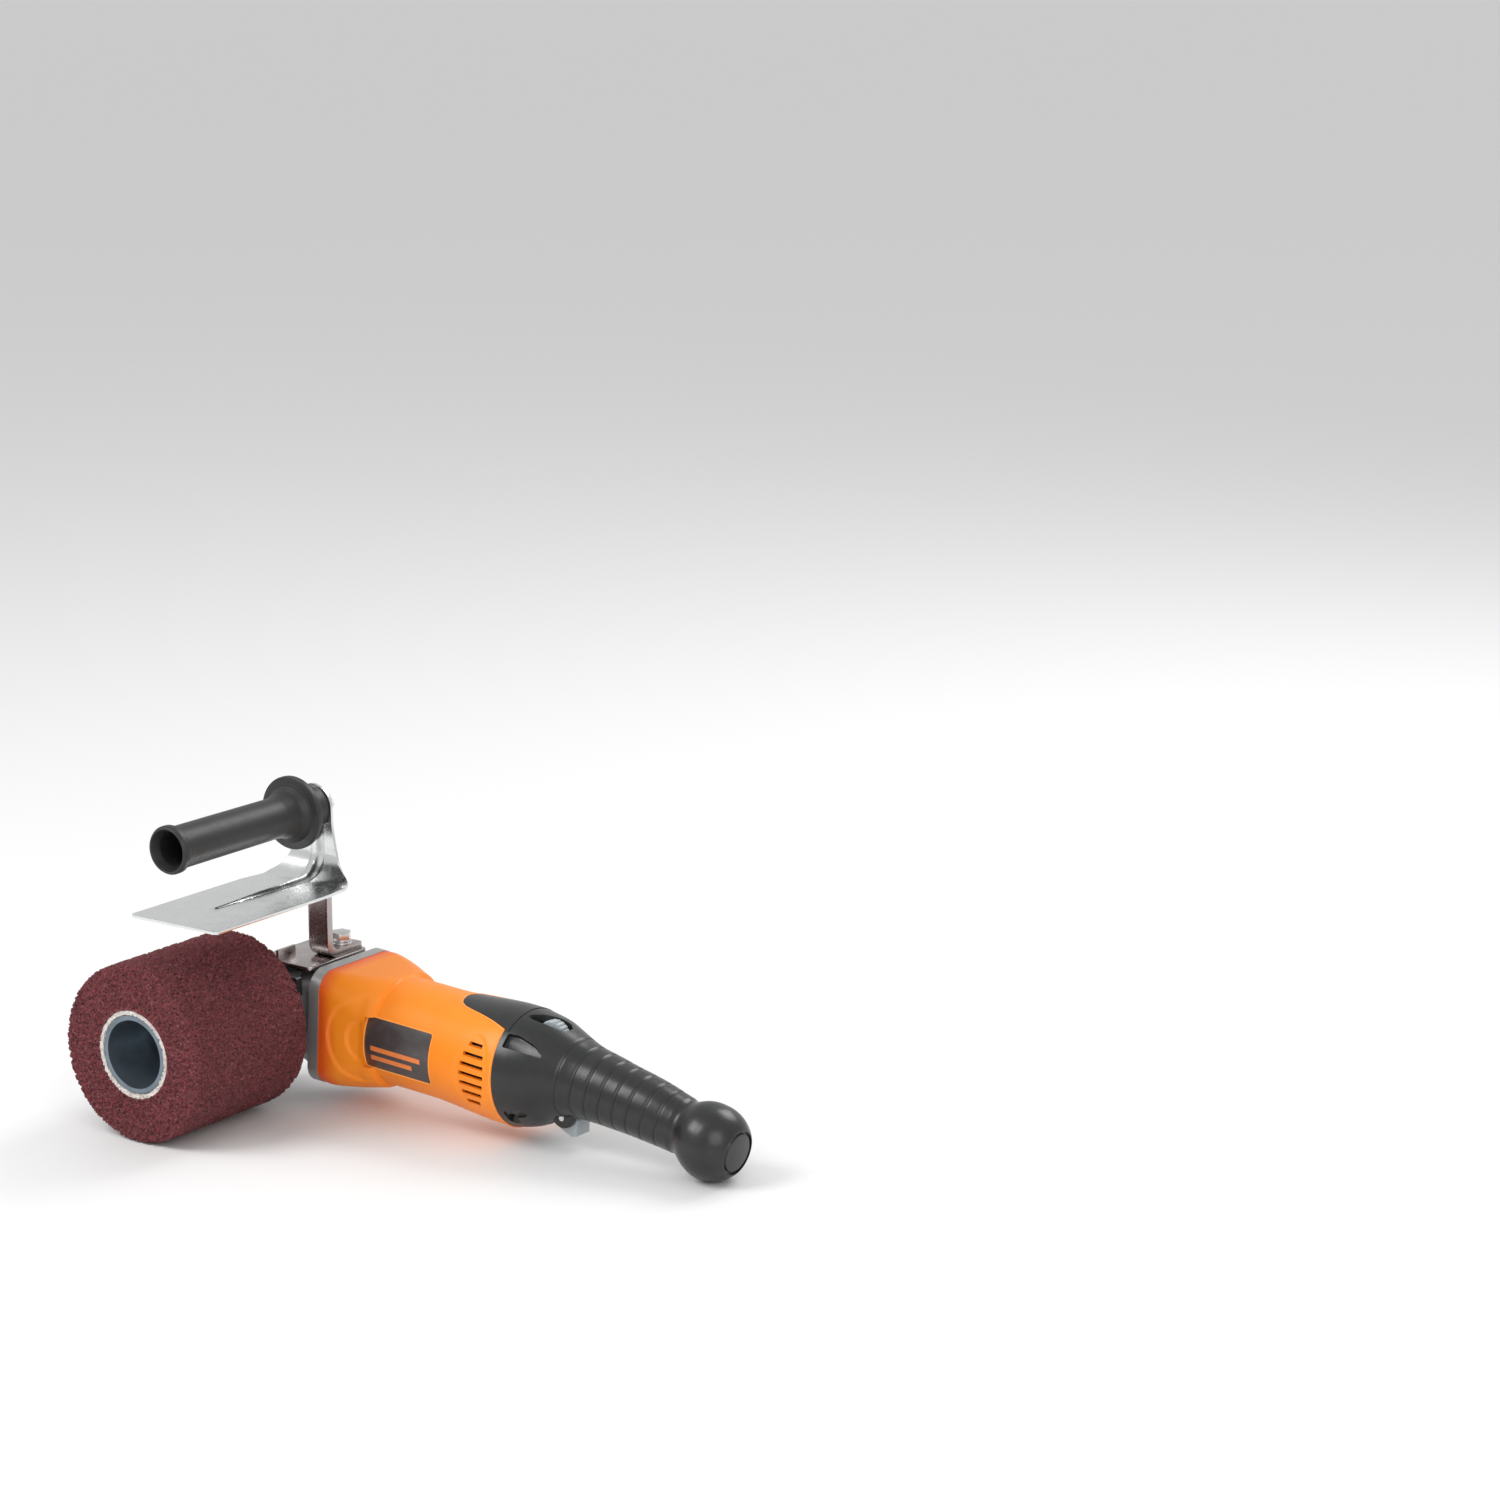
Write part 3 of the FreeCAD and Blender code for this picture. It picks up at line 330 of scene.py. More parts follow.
def taken(piece):
    """The piece's mesh as a bmesh, with the piece itself removed."""
    bm = bmesh.new()
    bm.from_mesh(piece.data)
    bpy.data.objects.remove(piece)
    return bm


def baked(piece):
    """Applies the piece's modifiers to its mesh."""
    bpy.context.view_layer.update()
    depsgraph = bpy.context.evaluated_depsgraph_get()
    mesh = bpy.data.meshes.new_from_object(piece.evaluated_get(depsgraph))
    old = piece.data
    piece.modifiers.clear()
    piece.data = mesh
    bpy.data.meshes.remove(old)
    return piece


def combine(piece, bm, operation):
    """Cuts a tool out of the piece, adds it, or keeps what they share."""
    tool = to_object(bm, "tool")
    modifier = piece.modifiers.new("combine", "BOOLEAN")
    modifier.operation = operation
    modifier.solver = "MANIFOLD"
    modifier.object = tool
    baked(piece)
    mesh = tool.data
    bpy.data.objects.remove(tool)
    bpy.data.meshes.remove(mesh)
    return piece


def finish_piece(piece, body, material, replaces=(), sharp=40, matrix=BENCH):
    """Puts the piece at its real place, shades it and hands it to the frame."""
    piece.data.transform(matrix)
    piece.data.materials.clear()
    piece.data.materials.append(material)
    for polygon in piece.data.polygons:
        polygon.use_smooth = True
        polygon.material_index = 0
    piece.data.set_sharp_from_angle(angle=math.radians(sharp))
    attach(piece, body)
    if replaces:
        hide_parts(*replaces)
    return piece


def make_piece(name, bm, body, material, replaces=(), sharp=40, matrix=BENCH):
    return finish_piece(to_object(bm, name), body, material, replaces, sharp, matrix)


def smoothstep(value, low, high):
    t = min(1, max(0, (value - low) / (high - low)))
    return t * t * (3 - 2 * t)


def table_value(table, position, column=1):
    """Value between the rows of a table, on a smooth curve through them."""
    if position <= table[0][0]:
        return table[0][column]
    if position >= table[-1][0]:
        return table[-1][column]
    k = max(n for n in range(len(table) - 1) if table[n][0] <= position)
    before, after = table[max(k - 1, 0)], table[min(k + 2, len(table) - 1)]
    a, b = table[k], table[k + 1]
    span = b[0] - a[0]
    t = (position - a[0]) / span
    slope_a = (b[column] - before[column]) / (b[0] - before[0]) * span
    slope_b = (after[column] - a[column]) / (after[0] - a[0]) * span
    return ((2 * t ** 3 - 3 * t ** 2 + 1) * a[column] + (t ** 3 - 2 * t ** 2 + t) * slope_a
            + (3 * t ** 2 - 2 * t ** 3) * b[column] + (t ** 3 - t ** 2) * slope_b)


# ---- materials ----
def group_tree(name, inputs, outputs):
    """Empty shader node group with named sockets given as (name, kind, default)."""
    tree = bpy.data.node_groups.new(name, "ShaderNodeTree")
    for label, kind, default in inputs:
        socket = tree.interface.new_socket(name=label, in_out="INPUT", socket_type="NodeSocket" + kind)
        if default is not None:
            socket.default_value = default
    for label, kind in outputs:
        tree.interface.new_socket(name=label, in_out="OUTPUT", socket_type="NodeSocket" + kind)
    return tree, tree.nodes.new("NodeGroupInput"), tree.nodes.new("NodeGroupOutput")


def add_node(tree, kind, settings=None, **inputs):
    """Adds a node, sets its properties and fills or links its inputs by name."""
    node = tree.nodes.new("ShaderNode" + kind)
    for key, value in (settings or {}).items():
        setattr(node, key, value)
    for key, value in inputs.items():
        socket = node.inputs[int(key[1:])] if key[0] == "i" and key[1:].isdigit() else node.inputs[
            key.replace("_", " ")]
        if isinstance(value, bpy.types.NodeSocket):
            tree.links.new(value, socket)
        else:
            socket.default_value = value
    return node


def grain_group():
    """Moulded or cast grain: a fine and a coarse noise mixed into one height, with a mask of its peaks."""
    tree, source, sink = group_tree(
        "Surface grain", [("Scale", "Float", 900.0), ("Coarse", "Float", 0.3)],
        [("Height", "Float"), ("Peaks", "Float")])
    place = add_node(tree, "TexCoord").outputs["Object"]
    fine = add_node(tree, "TexNoise", Vector=place, Scale=source.outputs["Scale"], Detail=3.0, Roughness=0.6)
    wide = add_node(tree, "Math", {"operation": "MULTIPLY"}, i0=source.outputs["Scale"], i1=0.22)
    coarse = add_node(tree, "TexNoise", Vector=place, Scale=wide.outputs[0], Detail=2.0)
    mixed = add_node(tree, "Mix", {"data_type": "FLOAT"}, i0=source.outputs["Coarse"], i2=fine.outputs["Fac"],
                     i3=coarse.outputs["Fac"])
    peaks = add_node(tree, "MapRange", i0=mixed.outputs[0], i1=0.52, i2=0.68)
    tree.links.new(mixed.outputs[0], sink.inputs["Height"])
    tree.links.new(peaks.outputs[0], sink.inputs["Peaks"])
    return tree


def wear_group():
    """Edge wear: where the surface turns outwards, broken up by noise."""
    tree, source, sink = group_tree(
        "Edge wear", [("Amount", "Float", 0.5), ("Breakup", "Float", 220.0)], [("Mask", "Float")])
    geometry = add_node(tree, "NewGeometry")
    edge = add_node(tree, "MapRange", i0=geometry.outputs["Pointiness"], i1=0.515, i2=0.60)
    place = add_node(tree, "TexCoord").outputs["Object"]
    patch = add_node(tree, "TexNoise", Vector=place, Scale=source.outputs["Breakup"], Detail=4.0)
    broken = add_node(tree, "MapRange", i0=patch.outputs["Fac"], i1=0.38, i2=0.62)
    both = add_node(tree, "Math", {"operation": "MULTIPLY"}, i0=edge.outputs[0], i1=broken.outputs[0])
    scaled = add_node(tree, "Math", {"operation": "MULTIPLY", "use_clamp": True}, i0=both.outputs[0],
                      i1=source.outputs["Amount"])
    tree.links.new(scaled.outputs[0], sink.inputs["Mask"])
    return tree


def shade_group():
    """Slow drift between two colours over the surface, with a little of a third in patches, as dust."""
    tree, source, sink = group_tree(
        "Colour drift",
        [("First", "Color", (0.5, 0.5, 0.5, 1)), ("Second", "Color", (0.4, 0.4, 0.4, 1)), ("Scale", "Float", 30.0),
         ("Dust", "Color", (0.5, 0.48, 0.45, 1)), ("Dust amount", "Float", 0.0)], [("Color", "Color")])
    place = add_node(tree, "TexCoord").outputs["Object"]
    drift = add_node(tree, "TexNoise", Vector=place, Scale=source.outputs["Scale"], Detail=4.0, Roughness=0.55)
    spread = add_node(tree, "MapRange", i0=drift.outputs["Fac"], i1=0.35, i2=0.65)
    base = add_node(tree, "Mix", {"data_type": "RGBA"}, i0=spread.outputs[0], i6=source.outputs["First"],
                    i7=source.outputs["Second"])
    fine = add_node(tree, "TexNoise", Vector=place, Scale=160.0, Detail=6.0, Roughness=0.7)
    specks = add_node(tree, "MapRange", i0=fine.outputs["Fac"], i1=0.5, i2=0.75)
    amount = add_node(tree, "Math", {"operation": "MULTIPLY"}, i0=specks.outputs[0], i1=source.outputs["Dust amount"])
    dusty = add_node(tree, "Mix", {"data_type": "RGBA"}, i0=amount.outputs[0], i6=base.outputs[2],
                     i7=source.outputs["Dust"])
    tree.links.new(dusty.outputs[2], sink.inputs["Color"])
    return tree


GROUPS = {}


def shared(name):
    """The shader group of that name, built the first time it is asked for."""
    if name not in GROUPS:
        GROUPS[name] = {"grain": grain_group, "wear": wear_group, "drift": shade_group}[name]()
    return GROUPS[name]


def use_group(tree, name, **inputs):
    node = tree.nodes.new("ShaderNodeGroup")
    node.node_tree = shared(name)
    for key, value in inputs.items():
        node.inputs[key.replace("_", " ")].default_value = value
    return node


def rgba(colour, factor=1.0):
    return (colour[0] * factor, colour[1] * factor, colour[2] * factor, 1.0)


def new_material(name):
    material = bpy.data.materials.new(name)
    material.use_nodes = True
    tree = material.node_tree
    return material, tree, tree.nodes["Principled BSDF"]


def finish_material(name, colour, second=None, metallic=0.0, roughness=0.5, spread=0.08, grain=900.0, coarse=0.3,
                    relief=0.02, drift=30.0, wear=0.0, worn=(0.5, 0.5, 0.5), dust=0.0, coat=0.0, specular=0.5,
                    brushed=None):
    """A surface with colour drift, grain, relief and worn edges."""
    material, tree, shader = new_material(name)
    tint = use_group(tree, "drift", First=rgba(colour), Second=rgba(second or colour, 1.0 if second else 0.86),
                     Scale=drift, Dust=rgba((0.55, 0.53, 0.50)), Dust_amount=dust)
    paint = tint.outputs["Color"]
    surface = use_group(tree, "grain", Scale=grain, Coarse=coarse)
    low, high = roughness - spread, roughness + spread
    rough = add_node(tree, "MapRange", i0=surface.outputs["Peaks"], i3=low, i4=high)
    if wear:
        mask = use_group(tree, "wear", Amount=wear)
        worn_mix = add_node(tree, "Mix", {"data_type": "RGBA"}, i0=mask.outputs["Mask"], i6=paint, i7=rgba(worn))
        paint = worn_mix.outputs[2]
    height = surface.outputs["Height"]
    if brushed:
        place = add_node(tree, "TexCoord").outputs["Object"]
        stretch = add_node(tree, "Mapping", Vector=place, Scale=brushed)
        lines = add_node(tree, "TexNoise", Vector=stretch.outputs[0], Scale=1.0, Detail=3.0)
        height = add_node(tree, "Mix", {"data_type": "FLOAT"}, i0=0.7, i2=height, i3=lines.outputs["Fac"]).outputs[0]
    bump = add_node(tree, "Bump", Height=height, Distance=relief * MM)
    tree.links.new(paint, shader.inputs["Base Color"])
    tree.links.new(rough.outputs[0], shader.inputs["Roughness"])
    tree.links.new(bump.outputs[0], shader.inputs["Normal"])
    shader.inputs["Metallic"].default_value = metallic
    shader.inputs["Coat Weight"].default_value = coat
    shader.inputs["Coat Roughness"].default_value = 0.15
    shader.inputs["Specular IOR Level"].default_value = specular
    return material


def fleece_material(colour):
    """Curled nylon fibres with grit: hollows darkened as painted shade, maroon strands lightened as a painted
    highlight, and pale specks.
    """
    material, tree, shader = new_material("abrasive_fleece")
    place = add_node(tree, "TexCoord").outputs["Object"]
    warp = add_node(tree, "TexNoise", Vector=place, Scale=260.0, Detail=3.0)
    bent = add_node(tree, "Mix", {"data_type": "VECTOR"}, i0=0.010, i4=place, i5=warp.outputs["Color"])
    strands = add_node(tree, "TexVoronoi", {"feature": "DISTANCE_TO_EDGE"}, Vector=bent.outputs[1], Scale=780.0)
    clumps = add_node(tree, "TexNoise", Vector=place, Scale=480.0, Detail=7.0, Roughness=0.78)
    # hollows between the clumps, darkened below to a tenth of the fleece colour: painted shade
    hollow = add_node(tree, "MapRange", i0=clumps.outputs["Fac"], i1=0.45, i2=0.55)
    strand = add_node(tree, "MapRange", i0=strands.outputs["Distance"], i1=0.02, i2=0.16, i3=1.0, i4=0.0)
    tone = add_node(tree, "Mix", {"data_type": "RGBA"}, i0=hollow.outputs[0], i6=rgba(colour, 0.10),
                    i7=rgba(colour))
    # strands brighter than the fleece colour: painted highlight
    lit = add_node(tree, "Mix", {"data_type": "RGBA"}, i0=strand.outputs[0], i6=tone.outputs[2],
                   i7=(colour[0] * 2.2, colour[1] * 3.0, colour[2] * 3.0, 1))
    grit = add_node(tree, "TexVoronoi", Vector=bent.outputs[1], Scale=640.0)
    speck = add_node(tree, "MapRange", i0=grit.outputs["Distance"], i1=0.16, i2=0.32, i3=0.75, i4=0.0)
    final = add_node(tree, "Mix", {"data_type": "RGBA"}, i0=speck.outputs[0], i6=lit.outputs[2],
                     i7=(0.42, 0.20, 0.19, 1))
    height = add_node(tree, "Mix", {"data_type": "FLOAT"}, i0=0.5, i2=clumps.outputs["Fac"], i3=strand.outputs[0])
    bump = add_node(tree, "Bump", Height=height.outputs[0], Distance=0.8 * MM)
    tree.links.new(final.outputs[2], shader.inputs["Base Color"])
    tree.links.new(bump.outputs[0], shader.inputs["Normal"])
    shader.inputs["Roughness"].default_value = 0.88
    shader.inputs["Specular IOR Level"].default_value = 0.12
    shader.inputs["Sheen Weight"].default_value = 0.10
    shader.inputs["Sheen Roughness"].default_value = 0.5
    return material


def orange_material(colour, name="orange_plastic", front_shade_depth=0.85):
    """Glossy moulded plastic, with painted shade: darker and redder next to the gear case."""
    material, tree, shader = new_material(name)
    tint = use_group(tree, "drift", First=rgba(colour), Second=(colour[0] * 0.97, colour[1] * 0.9, colour[2], 1),
                     Scale=18.0, Dust=(0.8, 0.45, 0.2, 1), Dust_amount=0.03)
    place = add_node(tree, "TexCoord").outputs["Object"]
    along = add_node(tree, "SeparateXYZ", Vector=place)
    start = CROSSING.x + RIM_BACK * MM
    # darker, redder band just behind the gear case flange: painted shade
    front = add_node(tree, "MapRange", i0=along.outputs["X"], i1=start + 3 * MM, i2=start + 14 * MM, i3=front_shade_depth,
                     i4=0.0)
    front_shade = add_node(tree, "Mix", {"data_type": "RGBA"}, i0=front.outputs[0], i6=tint.outputs["Color"],
                    i7=(colour[0] * 0.88, colour[1] * 0.30, colour[2], 1))
    surface = use_group(tree, "grain", Scale=1400.0, Coarse=0.5)
    rough = add_node(tree, "MapRange", i0=surface.outputs["Peaks"], i3=0.38, i4=0.46)
    bump = add_node(tree, "Bump", Height=surface.outputs["Height"], Distance=0.012 * MM)
    tree.links.new(front_shade.outputs[2], shader.inputs["Base Color"])
    tree.links.new(rough.outputs[0], shader.inputs["Roughness"])
    tree.links.new(bump.outputs[0], shader.inputs["Normal"])
    shader.inputs["Specular IOR Level"].default_value = 0.35
    return material


def zinc_material(colour):
    """Zinc-plated sheet: faint crystal patches and fine grain over bright steel."""
    material, tree, shader = new_material("zinc_steel")
    place = add_node(tree, "TexCoord").outputs["Object"]
    spangle = add_node(tree, "TexVoronoi", {"feature": "SMOOTH_F1"}, Vector=place, Scale=120.0)
    tone = add_node(tree, "Mix", {"data_type": "RGBA"}, i0=spangle.outputs["Distance"], i6=rgba(colour, 1.05),
                    i7=rgba(colour, 0.96))
    surface = use_group(tree, "grain", Scale=700.0, Coarse=0.6)
    rough = add_node(tree, "MapRange", i0=surface.outputs["Peaks"], i3=0.24, i4=0.34)
    bump = add_node(tree, "Bump", Height=surface.outputs["Height"], Distance=0.003 * MM)
    tree.links.new(tone.outputs[2], shader.inputs["Base Color"])
    tree.links.new(rough.outputs[0], shader.inputs["Roughness"])
    tree.links.new(bump.outputs[0], shader.inputs["Normal"])
    shader.inputs["Metallic"].default_value = 1.0
    return material


MATERIALS = {}
# working-model parts whose finish is not the plain one of their slot
OWN_FINISH = {"shell_screws": "black_screw", "motor_screws": "black_screw", "handle_bar": "bar_steel",
              "top_handle": "handle_rubber"}


def make_materials(scene):
    """Every finish of the tool, by the name of its material slot."""
    housing, guard, drum = scene.grinder_housing, scene.grinder_guard, scene.grinder_drum
    black = housing.black
    MATERIALS.update({
        "orange_plastic": orange_material(housing.orange),
        "black_plastic": finish_material("black_plastic", black, roughness=0.36, grain=1300.0, relief=0.025, dust=0.012,
                                         wear=0.2, worn=(0.07, 0.07, 0.07)),
        "cast_alloy": finish_material("cast_alloy", (0.42, 0.42, 0.42), (0.38, 0.385, 0.39), metallic=0.6,
                                      roughness=0.46, grain=620.0, coarse=0.45, relief=0.06),
        "zinc_steel": zinc_material(guard.steel),
        "screw_steel": finish_material("screw_steel", (0.62, 0.62, 0.62), metallic=1.0, roughness=0.26, relief=0.01,
                                       wear=0.4, worn=(0.8, 0.8, 0.8)),
        "machined_steel": finish_material("machined_steel", (0.50, 0.50, 0.51), metallic=1.0, roughness=0.28,
                                          relief=0.012, brushed=(30, 4000, 30)),
        "bearing_steel": finish_material("bearing_steel", (0.72, 0.72, 0.73), metallic=1.0, roughness=0.14,
                                         spread=0.04, relief=0.004),
        "abrasive_fleece": fleece_material(drum.colour),
        "drum_glue": finish_material("drum_glue", drum.glue, (0.52, 0.46, 0.42), roughness=0.62, grain=500.0,
                                     coarse=0.6, relief=0.25, drift=220.0, dust=0.15),
        "drum_tube_board": finish_material("drum_tube_board", (0.19, 0.235, 0.28), (0.14, 0.175, 0.21), metallic=0.75,
                                           roughness=0.40, relief=0.03, drift=60.0, brushed=(60, 900, 60)),
        "fan_plastic": finish_material("fan_plastic", (0.03, 0.03, 0.035), roughness=0.5, relief=0.02),
        "felt": finish_material("felt", (0.20, 0.18, 0.16), roughness=0.9, grain=1500.0, relief=0.2),
        "bronze": finish_material("bronze", (0.55, 0.34, 0.13), metallic=1.0, roughness=0.35, relief=0.02),
        "badge": finish_material("badge", (0.055, 0.045, 0.045), roughness=0.36, relief=0.01, dust=0.05, coat=0.3),
        "lamination_steel": finish_material("lamination_steel", (0.24, 0.24, 0.26), metallic=0.8, roughness=0.5,
                                            relief=0.05, brushed=(3000, 20, 20)),
        "copper_wire": finish_material("copper_wire", (0.50, 0.18, 0.07), (0.35, 0.10, 0.04), metallic=0.9,
                                       roughness=0.35, relief=0.10, brushed=(40, 1600, 1600), coat=0.4),
        "carbon": finish_material("carbon", (0.03, 0.03, 0.03), roughness=0.6, relief=0.03),
        "brass": finish_material("brass", (0.62, 0.43, 0.15), metallic=1.0, roughness=0.3, relief=0.02),
        "trigger_plastic": finish_material("trigger_plastic", (0.36, 0.40, 0.42), roughness=0.38, relief=0.015,
                                           dust=0.08),
        "switch_plastic": finish_material("switch_plastic", (0.05, 0.05, 0.06), roughness=0.45, relief=0.02),
        "board_laminate": finish_material("board_laminate", (0.03, 0.14, 0.07), roughness=0.4, relief=0.02),
        # near-black; behind the cooling slots it is painted shade
        "dark_recess": finish_material("dark_recess", (0.010, 0.006, 0.005), roughness=0.5, relief=0.01),
        "black_screw": finish_material("black_screw", (0.035, 0.035, 0.037), metallic=0.7, roughness=0.32, relief=0.01),
        "bar_steel": finish_material("bar_steel", (0.44, 0.40, 0.39), (0.40, 0.36, 0.355), metallic=1.0,
                                     roughness=0.34, relief=0.015, drift=60.0),
        "handle_rubber": finish_material("handle_rubber", (0.0135, 0.0135, 0.014), roughness=0.52, grain=1100.0,
                                         relief=0.04, dust=0.01),
        # lighter orange copy of the housing's finish for the lips: painted highlight
        "orange_lip_highlight": orange_material((0.98, 0.36, 0.07), "orange_lip_highlight", 0.25),
        "badge_stripe": finish_material("badge_stripe", (0.80, 0.22, 0.05), roughness=0.45, relief=0.01),
    })


def finish(name):
    return MATERIALS[name]


# ---- drum ----
def loose_fibres(count, radius, low, high):
    """Short stiff hairs that lean every way over the nap, none of them reaching past the drum's radius."""
    random.seed(7)
    bm = bmesh.new()
    for _ in range(count):
        angle, along = random.uniform(0, 2 * math.pi), random.uniform(low, high)
        length = random.uniform(1.6, 3.0)
        lean = Matrix.Rotation(random.uniform(-0.9, 0.9), 4, "Y") @ Matrix.Rotation(random.uniform(-0.9, 0.9), 4, "X")
        root = Matrix.Rotation(angle, 4, "X") @ Matrix.Translation((along, 0, radius - length - 0.05))
        spot = root @ lean @ Matrix.Translation((0, 0, length / 2))
        bmesh.ops.create_cone(bm, cap_ends=True, segments=3, radius1=random.uniform(0.16, 0.28), radius2=0.04,
                              depth=length, matrix=spot)
    return bm


class GRINDER_OT_drum(bpy.types.Operator):
    """Build the fleece drum and its glue rings"""
    bl_idname = "grinder.drum"
    bl_label = "Drum"

    def execute(self, context):
        settings = context.scene.grinder_drum
        radius = SPINDLE_Z
        lathe = BENCH @ Matrix.Translation((0, 0, SPINDLE_Z)) @ SPIN_TO_Y
        outline = rounded([(DRUM_OUT, GLUE_R, 1.0), (DRUM_OUT, radius, 3.0), (DRUM_IN, radius, 3.0),
                           (DRUM_IN, GLUE_R, 1.0)])
        skin = divided(outline, 0.85)
        core = [Vector(p) for p in ((DRUM_IN - 2.4, GLUE_R), (DRUM_IN - 2.4, TUBE_R), (DRUM_OUT + 2.4, TUBE_R),
                                    (DRUM_OUT + 2.4, GLUE_R))]
        bm = spin_profile(skin + core, 430)
        bm.normal_update()
        for vert in bm.verts:
            spot = vert.co.copy()
            reach = spot.yz.length
            if reach > GLUE_R + 0.01:
                wave = 1.2 * noise.noise(spot / 1.3) + 0.5 * noise.noise(spot / 2.6) + 0.2 * noise.noise(spot / 7)
                depth = settings.roughness / MM * smoothstep(reach, GLUE_R, GLUE_R + 2)
                vert.co -= vert.normal * depth * (0.5 + 0.5 * max(-1, min(1, 2.0 * wave)))
        make_piece("fleece_drum", bm, "drum", finish("abrasive_fleece"), ("drum_fleece",), 180,
                   lathe)
        fibres = loose_fibres(settings.fibres, radius, DRUM_OUT + 2, DRUM_IN - 2)
        make_piece("loose_fibres", fibres, "drum", finish("abrasive_fleece"), (), 60, lathe)
        for name, face, side in (("glue_ring_outer", DRUM_OUT, 1), ("glue_ring_inner", DRUM_IN, -1)):
            ring = rounded([(face, TUBE_R + 0.05, 0.6), (face, GLUE_R + 0.5, 0.9), (face + side * 2.4, GLUE_R - 0.1),
                            (face + side * 2.4, TUBE_R + 0.05)], closed=True)
            bm = spin_profile(divided(ring, 0.4, closed=True), 300)
            bm.normal_update()
            for vert in bm.verts:
                wave = noise.noise(vert.co / 1.3) + 0.9 * noise.noise(vert.co / 0.7)
                vert.co -= vert.normal * 1.1 * (0.5 + 0.5 * max(-1, min(1, 1.8 * wave)))
            make_piece(name, bm, "drum", finish("drum_glue"), ("glue_rings",), 60, lathe)
        return {"FINISHED"}


# ---- motor housing ----
def square_reach(angle, half, corner):
    """Distance from the centre of a rounded square to its edge in one direction."""
    angle = abs((angle + math.pi / 4) % (math.pi / 2) - math.pi / 4)
    flat = half - corner
    if half * math.tan(angle) <= flat:
        return half / math.cos(angle)
    dot = flat * (math.cos(angle) + math.sin(angle))
    return dot + math.sqrt(max(0, corner ** 2 - flat ** 2 * (math.cos(angle) - math.sin(angle)) ** 2))


def smooth_max(a, b, blend):
    return 0.5 * (a + b + math.sqrt((a - b) ** 2 + blend ** 2))


def relief(along, height):
    """Depth of the two shallow scoops where the barrel comes out of the flat sides, and of the vent field."""
    distance = math.hypot(along - 90, height)
    depth = 1.3 * (1 - smoothstep(distance, 27.2, 29.0)) + 1.2 * (1 - smoothstep(distance, 13.4, 15.2))
    depth *= 1 - smoothstep(along, 84, 92)
    field = math.hypot((along - VENT_X - 1.4) / 13.6, height / 24.5)
    return depth + 0.5 * (1 - smoothstep(field, 0.97, 1.03))


def housing_reach(along, angle):
    """Outer radius of the motor housing: a barrel that grows out of a tapered square with screw corners."""
    barrel = table_value(BARREL_STATIONS, along)
    half = table_value(BLOCK_STATIONS, along)
    block = square_reach(angle, half, table_value(BLOCK_STATIONS, along, 2))
    block -= 8 * smoothstep(along, 94.6, 96.2)
    reach = smooth_max(barrel, block, 0.6)
    side = abs(math.cos(angle))
    if side > 0.5:
        reach -= relief(along, reach * math.sin(angle)) * smoothstep(side, 0.6, 0.8)
    return reach


def on_blank(vert):
    return abs(vert.co.yz.length - BARREL_BLANK) < 0.01


def scale_radius(vert, radius):
    """Moves a point of a skin turned about X to another radius."""
    scale = radius / vert.co.yz.length
    vert.co.y *= scale
    vert.co.z *= scale


def tongue_outline(margin):
    """Outline of the tongue in plan, tip first, widened by a margin."""
    last = (SEAM + 8, TONGUE_STATIONS[-1][1] + 3)
    half = [(x, y + margin) for x, y in TONGUE_STATIONS[1:] + (last,)]
    tip = [(TONGUE_STATIONS[0][0] - margin, 0)]
    return tip + half + [(x, -y) for x, y in reversed(half)]


